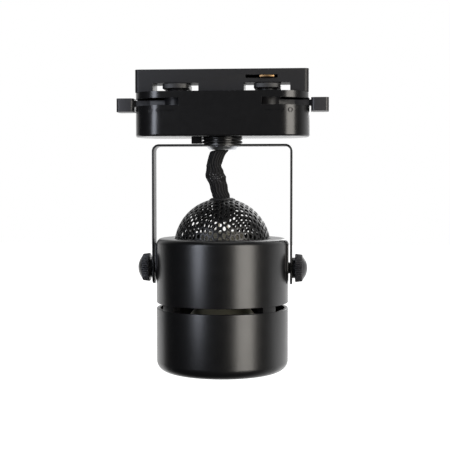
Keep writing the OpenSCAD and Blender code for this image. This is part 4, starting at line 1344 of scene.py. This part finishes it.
@dataclass
class Lamp(Assembly):
    """The reflector lamp and its parts that show through the vent gap and the mouth."""

    body: str = "head"
    rim_r: float = 25.0
    rim_h: float = 3.5
    length: float = 46.0
    neck_r: float = 9.8
    neck_l: float = 12.0
    wall: float = 1.4
    pin_hole_r: float = 3.0
    base_t: float = 2.6
    glass_r: float = 23.5
    glass_t: float = 1.6
    capsule_r: float = 4.2
    tip_r: float = 2.8
    tip_l: float = 3.0
    coil_r: float = 0.9
    coil_turns: int = 9
    coil_l: float = 4.5
    coil_up: float = 6.0
    leg_l: float = 7.0
    wire_r: float = 0.14
    # the bright bowl from its rim to its neck: radius and height over the face of each row
    bowl: tuple = ((22.7, 1.75), (22.4, 3.6), (20.2, 5.8), (17.9, 8.4), (15.6, 11.4),
                   (13.0, 15.2), (11.9, 19.5), (10.6, 25.0), (9.2, 30.0), (6.0, 30.4))
    bowl_wall: float = 0.3
    facets_round: int = 36
    # edges sharper than this stay sharp: on the turned pieces, the facets and the wire
    smooth_deg: float = 40.0
    facet_deg: float = 1.0
    wire_deg: float = 60.0

    def build(self) -> None:
        """Makes the lamp."""
        face = box_mm("lamp_body")[0][2]
        self.fit(mesh_object("lamp_shell", self.shell(face), self.smooth_deg),
                 "lamp_aluminium", "lamp_body")
        self.fit(mesh_object("lamp_reflector", self.facets(face), self.facet_deg),
                 "lamp_aluminium", finish=REFLECTOR)
        self.fit(mesh_object("lamp_cover_glass", self.cover(face), self.smooth_deg),
                 "lamp_glass", "lamp_lens")
        low, high = box_mm("lamp_capsule")
        capsule = self.capsule(low[2], high[2])
        self.fit(mesh_object("lamp_capsule_tube", capsule, self.smooth_deg),
                 "capsule_glass", "lamp_capsule")
        filament = self.filament(low[2] + self.coil_up)
        self.fit(mesh_object("lamp_filament", filament, self.wire_deg), "pin_metal",
                 finish=FILAMENT)

    def shell(self, face: float) -> Shape:
        """The outer shell: a stepped bell profile turned round Z, open at its face.

        Args:
            face: Height of the lamp's face.

        Returns:
            The shell, with its wall.
        """
        top = face + self.length
        cone = top - self.neck_l
        # up the outside from the rim to the neck, into its middle, and down the inside
        return revolve(rounded([
            (self.rim_r, face, 0.4), (self.rim_r, face + self.rim_h, 0.8),
            (self.rim_r - 5, face + self.rim_h + 5.4, 6), (self.rim_r - 10, cone - 18.5, 9),
            (self.neck_r + 1.2, cone - 3, 4), (self.neck_r, cone, 2),
            (self.neck_r, top, 0.6), (self.pin_hole_r, top, 0),
            (self.pin_hole_r, top - self.base_t, 0),
            (self.neck_r - 1.5, top - self.base_t, 0.5), (self.neck_r - self.wall, cone - 0.5, 2),
            (self.neck_r - 0.3, cone - 4, 4), (self.rim_r - 11.3, cone - 18.2, 9),
            (self.rim_r - 6.3, face + self.rim_h + 4.7, 6),
            (self.rim_r - self.wall, face + self.rim_h - 0.2, 0.8),
            (self.rim_r - self.wall, face, 0.3)], 6), 128)

    def facets(self, face: float) -> Shape:
        """The bright bowl: rows of flat facets, each row turned by half a facet.

        Args:
            face: Height of the lamp's face.

        Returns:
            The bowl in triangles, with a back that follows it bowl_wall outwards and upwards.
        """
        rows = np.array(self.bowl)
        back = rows[::-1] + self.bowl_wall
        profile = np.concatenate([rows, back[1:]])
        count = self.facets_round
        t = 2 * math.pi / count * (np.arange(count)[:, None]
                                   + 0.5 * (np.arange(len(profile)) % 2)[None])
        r = np.broadcast_to(profile[:, 0], t.shape)
        z = np.broadcast_to(face + profile[:, 1], t.shape)
        points = np.stack([r * np.cos(t), r * np.sin(t), z], -1).reshape(-1, 3)
        quads = grid_faces(count, len(profile), True, True)
        faces = np.concatenate([quads[:, [0, 1, 2]], quads[:, [0, 2, 3]]])
        return Shape(points, faces.tolist())

    def cover(self, face: float) -> Shape:
        """The cover glass: a disc with a rounded edge and a slightly sunk middle.

        Args:
            face: Height of the lamp's face.

        Returns:
            The glass.
        """
        return revolve(rounded([
            (0, face + 0.25, 0), (self.glass_r - 6, face + 0.15, 8), (self.glass_r, face, 0.4),
            (self.glass_r, face + self.glass_t, 0.3), (0, face + self.glass_t, 0)], 6,
            closed=False), 96, closed=False)

    def capsule(self, low: float, high: float) -> Shape:
        """The quartz capsule: a tube with a round nose and a narrow tip.

        Args:
            low: Height of its nose.
            high: Height of its tip.

        Returns:
            The capsule.
        """
        r = self.capsule_r
        nose = np.linspace(0, math.pi / 2, 12)
        profile = np.concatenate([
            [(0, low)], np.stack([r * np.sin(nose[1:]), low + r - r * np.cos(nose[1:])], 1),
            rounded([(r, low + r, 0), (r, high - self.tip_l, 1.2),
                     (self.tip_r, high - self.tip_l + 1, 1.0), (self.tip_r, high, 0.3),
                     (0, high, 0)], 5, False)[1:]])
        return revolve(profile, 64, closed=False)

    def filament(self, low: float) -> Shape:
        """A coil of wire on two straight legs.

        The coil's centre line goes along X while it runs round (r cos t, r sin t).

        Args:
            low: Height of the coil's axis.

        Returns:
            The coil and its legs.
        """
        t = np.linspace(0, 2 * math.pi * self.coil_turns, self.coil_turns * 14)
        end = self.coil_l / 2
        path = np.stack([np.linspace(0, self.coil_l, len(t)) - end, self.coil_r * np.cos(t),
                         low + self.coil_r * np.sin(t)], 1)
        legs = [np.array([[x, 0, low], [x, 0, low + self.leg_l]]) for x in (-end, end)]
        wire = circle(self.wire_r, 6)
        shapes = [swept(path, wire, np.array([1.0, 0.0, 0.0]))]
        shapes += [swept(leg, wire, np.array([0.0, 1.0, 0.0])) for leg in legs]
        return shapes[0].plus(*shapes[1:])


@dataclass
class Knob(Assembly):
    """A thumb knob with its screw, on one end of the tilt axis."""

    body: str = ""
    side: Side = Side.LEFT
    rim_r: float = 8.25
    draft: float = 0.55
    rim_l: float = 4.3
    hub_r: float = 6.0
    hub_l: float = 1.6
    cap_r: float = 6.9
    cap_h: float = 2.7
    bore_r: float = 2.05
    bore_l: float = 5.0
    knurls: int = 42
    knurl_depth: float = 0.6
    knurl_power: float = 0.7
    # the knurls fade in over these lengths: from the cap outwards, and from the rim's foot up
    fade_r: float = 0.5
    fade_l: float = 0.3
    samples: int = 10
    smooth_deg: float = 48.0
    screw_edge: float = 0.15

    def build(self) -> None:
        """Makes the knob and its screw."""
        self.body = f"{self.side.word}_knob"
        seat = min(abs(corner[0]) for corner in box_mm(self.body))
        shape = self.knurled(seat).moved(axis_x(self.side, joint_mm("tilt")[2]))
        self.fit(mesh_object(f"{self.body}_form", shape, self.smooth_deg), "knob_plastic",
                 self.body)
        self.copy_nodes({f"{self.side.word}_knob_screw": self.screw_edge})

    def knurled(self, seat: float) -> Shape:
        """A turned knob whose rim is grooved.

        The profile is turned round Z. On the rim the radius at angle t drops by
        knurl_depth * (1 - |cos(knurls t / 2)| ^ knurl_power), times a weight that fades to 0
        at the rim's two edges.

        Args:
            seat: Distance of the hub's face from the middle of the object.

        Returns:
            The closed surface, along +Z.
        """
        foot = seat + self.hub_l
        crown = foot + self.rim_l
        sphere = (self.cap_r ** 2 + self.cap_h ** 2) / (2 * self.cap_h)
        dome = np.linspace(math.asin(self.cap_r / sphere), 0, 16)
        cap = np.stack([sphere * np.sin(dome), crown + self.cap_h - sphere
                        + sphere * np.cos(dome)], 1)
        lower = rounded([
            (0, seat + self.bore_l, 0), (self.bore_r, seat + self.bore_l, 0),
            (self.bore_r, seat, 0.2),
            (self.hub_r, seat, 0.35), (self.hub_r, foot, 0.3), (self.rim_r, foot, 0.5),
            (self.rim_r - self.draft, crown, 0.6), (self.cap_r + 0.05, crown, 0.12),
            (self.cap_r - 0.1, crown + 0.12, 0)], 5, False)
        profile = np.concatenate([lower, cap[1:]])
        r, z = profile[:, 0], profile[:, 1]
        weight = np.clip((r - self.cap_r) / self.fade_r, 0, 1) \
            * np.clip((z - foot) / self.fade_l, 0, 1)
        count = self.knurls * self.samples
        t = 2 * math.pi * np.arange(count)[:, None] / count
        wave = np.abs(np.cos(self.knurls * t / 2))
        groove = self.knurl_depth * (1 - wave ** self.knurl_power)
        radius = r[None] - groove * weight[None]
        points = np.stack([radius * np.cos(t), radius * np.sin(t),
                           np.broadcast_to(z, radius.shape)], -1).reshape(-1, 3)
        return Shape(points, grid_faces(count, len(profile), True, False).tolist())


# ---------------------------------------------------------------- studio


def soft_light(name: str, size: tuple[float, float], power: float, colour: str,
               place: Vector, aim: Vector) -> None:
    """Adds a rectangular soft light.

    Args:
        name: The light's name.
        size: Its width and height, in metres.
        power: Its power, in watts.
        colour: Its sRGB hex colour.
        place: Its middle, in metres.
        aim: The point that it faces, in metres.
    """
    light = bpy.data.lights.new(name, "AREA")
    light.shape = "RECTANGLE"
    light.size, light.size_y = size
    light.energy = power
    light.color = linear(colour)[:3]
    lamp = bpy.data.objects.new(name, light)
    lamp.location = place
    lamp.rotation_euler = (aim - place).to_track_quat("-Z", "Y").to_euler()
    bpy.context.scene.collection.objects.link(lamp)


@dataclass
class Softbox:
    """A tall soft light that stands round the object, upright and turned to its axis."""

    name: str
    bearing_deg: float
    distance: float
    width: float
    low: float
    high: float
    power: float
    colour: str

    def build(self) -> None:
        """Adds the light."""
        bearing = math.radians(self.bearing_deg)
        place = Vector((self.distance * math.sin(bearing), -self.distance * math.cos(bearing),
                        (self.low + self.high) / 2))
        soft_light(self.name, (self.width, self.high - self.low), self.power, self.colour,
                   place, Vector((0, 0, place.z)))


def any_ray(tree: bpy.types.NodeTree, *kinds: str) -> bpy.types.NodeSocket:
    """Tells some kinds of ray from the others.

    Args:
        tree: The tree to add to.
        kinds: The kinds, as Light Path names them.

    Returns:
        An output that is 1 for rays of these kinds and 0 for others.
    """
    ray = add_node(tree, "ShaderNodeLightPath").outputs
    found = ray[kinds[0]]
    for kind in kinds[1:]:
        found = add_node(tree, "ShaderNodeMath", {0: found, 1: ray[kind]},
                         operation="MAXIMUM").outputs[0]
    return found


@dataclass
class Studio:
    """Camera, lights, background and floor, in metres and degrees."""

    camera_m: float = 0.577
    camera_bearing_deg: float = 5.0
    camera_z: float = -0.0533
    camera_reach: float = 50.0
    lens_mm: float = 80.0
    sensor_mm: float = 36.0
    pitch_deg: float = -2.23
    yaw_deg: float = 0.15
    floor_z: float = -0.62
    floor_half_x: float = 7.0
    floor_front_y: float = 0.6
    floor_back_y: float = 9.0
    floor_left_deg: float = 28.0
    floor_right_deg: float = 7.0
    glow_turn_deg: float = 15.0
    front_glow: float = 0.035
    glow_from: float = 0.1
    glow_full: float = 0.72
    floor_colour: str = "#f2f2f2"
    top_size: tuple[float, float] = (0.9, 0.9)
    top_power: float = 7.0
    top_place: tuple[float, float, float] = (0.05, 0.45, 1.25)
    top_aim: tuple[float, float, float] = (0.0, 0.0, -0.08)
    boxes: tuple[Softbox, ...] = (
        Softbox("left_softbox", -36.4, 1.0, 0.28, -0.22, 0.62, 6.2, "#e9eefb"),
        Softbox("right_softbox", 44.0, 1.0, 0.55, -0.52, 0.62, 13.5, "#fffaf2"),
        Softbox("rear_softbox", 160.0, 1.6, 0.8, 0.1, 1.3, 10.0, "#ffffff"))

    def build(self) -> None:
        """Sets up the studio."""
        scene = bpy.context.scene
        scene.view_settings.view_transform = "Standard"
        self.camera(scene)
        for box in self.boxes:
            box.build()
        soft_light("top_softbox", self.top_size, self.top_power, "#ffffff",
                   Vector(self.top_place), Vector(self.top_aim))
        self.world(scene)
        self.floor()

    def camera(self, scene: bpy.types.Scene) -> None:
        """Adds the camera: a long lens a little to the right of the front.

        Args:
            scene: The scene that looks through it.
        """
        data = bpy.data.cameras.new("camera")
        data.lens, data.sensor_width = self.lens_mm, self.sensor_mm
        data.clip_end = self.camera_reach
        camera = bpy.data.objects.new("camera", data)
        bearing = math.radians(self.camera_bearing_deg)
        camera.location = (self.camera_m * math.sin(bearing),
                           -self.camera_m * math.cos(bearing), self.camera_z)
        camera.rotation_euler = (math.radians(90 + self.pitch_deg), 0,
                                 bearing - math.radians(self.yaw_deg))
        scene.collection.objects.link(camera)
        scene.camera = camera

    def world(self, scene: bpy.types.Scene) -> None:
        """White behind and beside the object, and dim in front of it.

        The glow that lights the object depends on how far a direction points to the back,
        along +Y turned a little to the right: it rises from front_glow to 1.

        Args:
            scene: The scene that it surrounds.
        """
        world = bpy.data.worlds.new("studio")
        scene.world = world
        world.use_nodes = True
        tree = world.node_tree
        tree.nodes.clear()
        turn = math.radians(self.glow_turn_deg)
        way = add_node(tree, "ShaderNodeVectorMath", {
            0: add_node(tree, "ShaderNodeTexCoord").outputs["Generated"],
            1: (math.sin(turn), math.cos(turn), 0.0)},
            operation="DOT_PRODUCT").outputs["Value"]
        rise = add_node(tree, "ShaderNodeMapRange", {
            "Value": way, "From Min": self.glow_from, "From Max": self.glow_full,
            "To Min": self.front_glow, "To Max": 1.0}).outputs["Result"]
        white = any_ray(tree, "Is Camera Ray", "Is Transmission Ray")
        strength = add_node(tree, "ShaderNodeMix", {0: white, 2: rise, 3: 1.0}).outputs[0]
        light = add_node(tree, "ShaderNodeBackground", {
            "Color": (1, 1, 1, 1), "Strength": strength})
        add_node(tree, "ShaderNodeOutputWorld", {"Surface": light.outputs["Background"]})

    def floor(self) -> None:
        """A plain pale floor: matt white with enough glow to meet the background.

        It lies behind the object, and its front corners are cut back along two rays from the
        origin, so that the object's sides don't mirror it.
        """
        half, front, back, z = (self.floor_half_x, self.floor_front_y, self.floor_back_y,
                                self.floor_z)
        left, right = (math.tan(math.radians(a))
                       for a in (self.floor_left_deg, self.floor_right_deg))
        corners = [(-half, half * left, z), (-front / left, front, z),
                   (front / right, front, z), (half, half * right, z), (half, back, z),
                   (-half, back, z)]
        mesh = bpy.data.meshes.new("floor")
        mesh.from_pydata(corners, [], [tuple(range(len(corners)))])
        floor = bpy.data.objects.new("floor", mesh)
        bpy.context.scene.collection.objects.link(floor)
        material = bpy.data.materials.new("matt_white_floor")
        material.use_nodes = True
        tree = material.node_tree
        tree.nodes.clear()
        matt = add_node(tree, "ShaderNodeBsdfDiffuse", {"Color": linear(self.floor_colour)})
        glow = any_ray(tree, "Is Camera Ray", "Is Transmission Ray", "Is Glossy Ray")
        lit = add_node(tree, "ShaderNodeEmission", {"Color": (1, 1, 1, 1), "Strength": glow})
        both = add_node(tree, "ShaderNodeAddShader", {
            0: matt.outputs["BSDF"], 1: lit.outputs["Emission"]})
        add_node(tree, "ShaderNodeOutputMaterial", {"Surface": both.outputs["Shader"]})
        # the glow isn't a light of its own, so it isn't sampled as one
        material.cycles.emission_sampling = "NONE"
        mesh.materials.append(material)


def main() -> None:
    """Builds the studio, then each sub-assembly from the track down."""
    Studio().build()
    assemblies = [Adapter(), *(Latch(side=side) for side in Side), Yoke(), Sleeve(), Head(),
                  Dome(), Lamp(), *(Knob(side=side) for side in Side)]
    for assembly in assemblies:
        log.info("building %s", type(assembly).__name__)
        assembly.build()


if __name__ == "__main__":
    main()
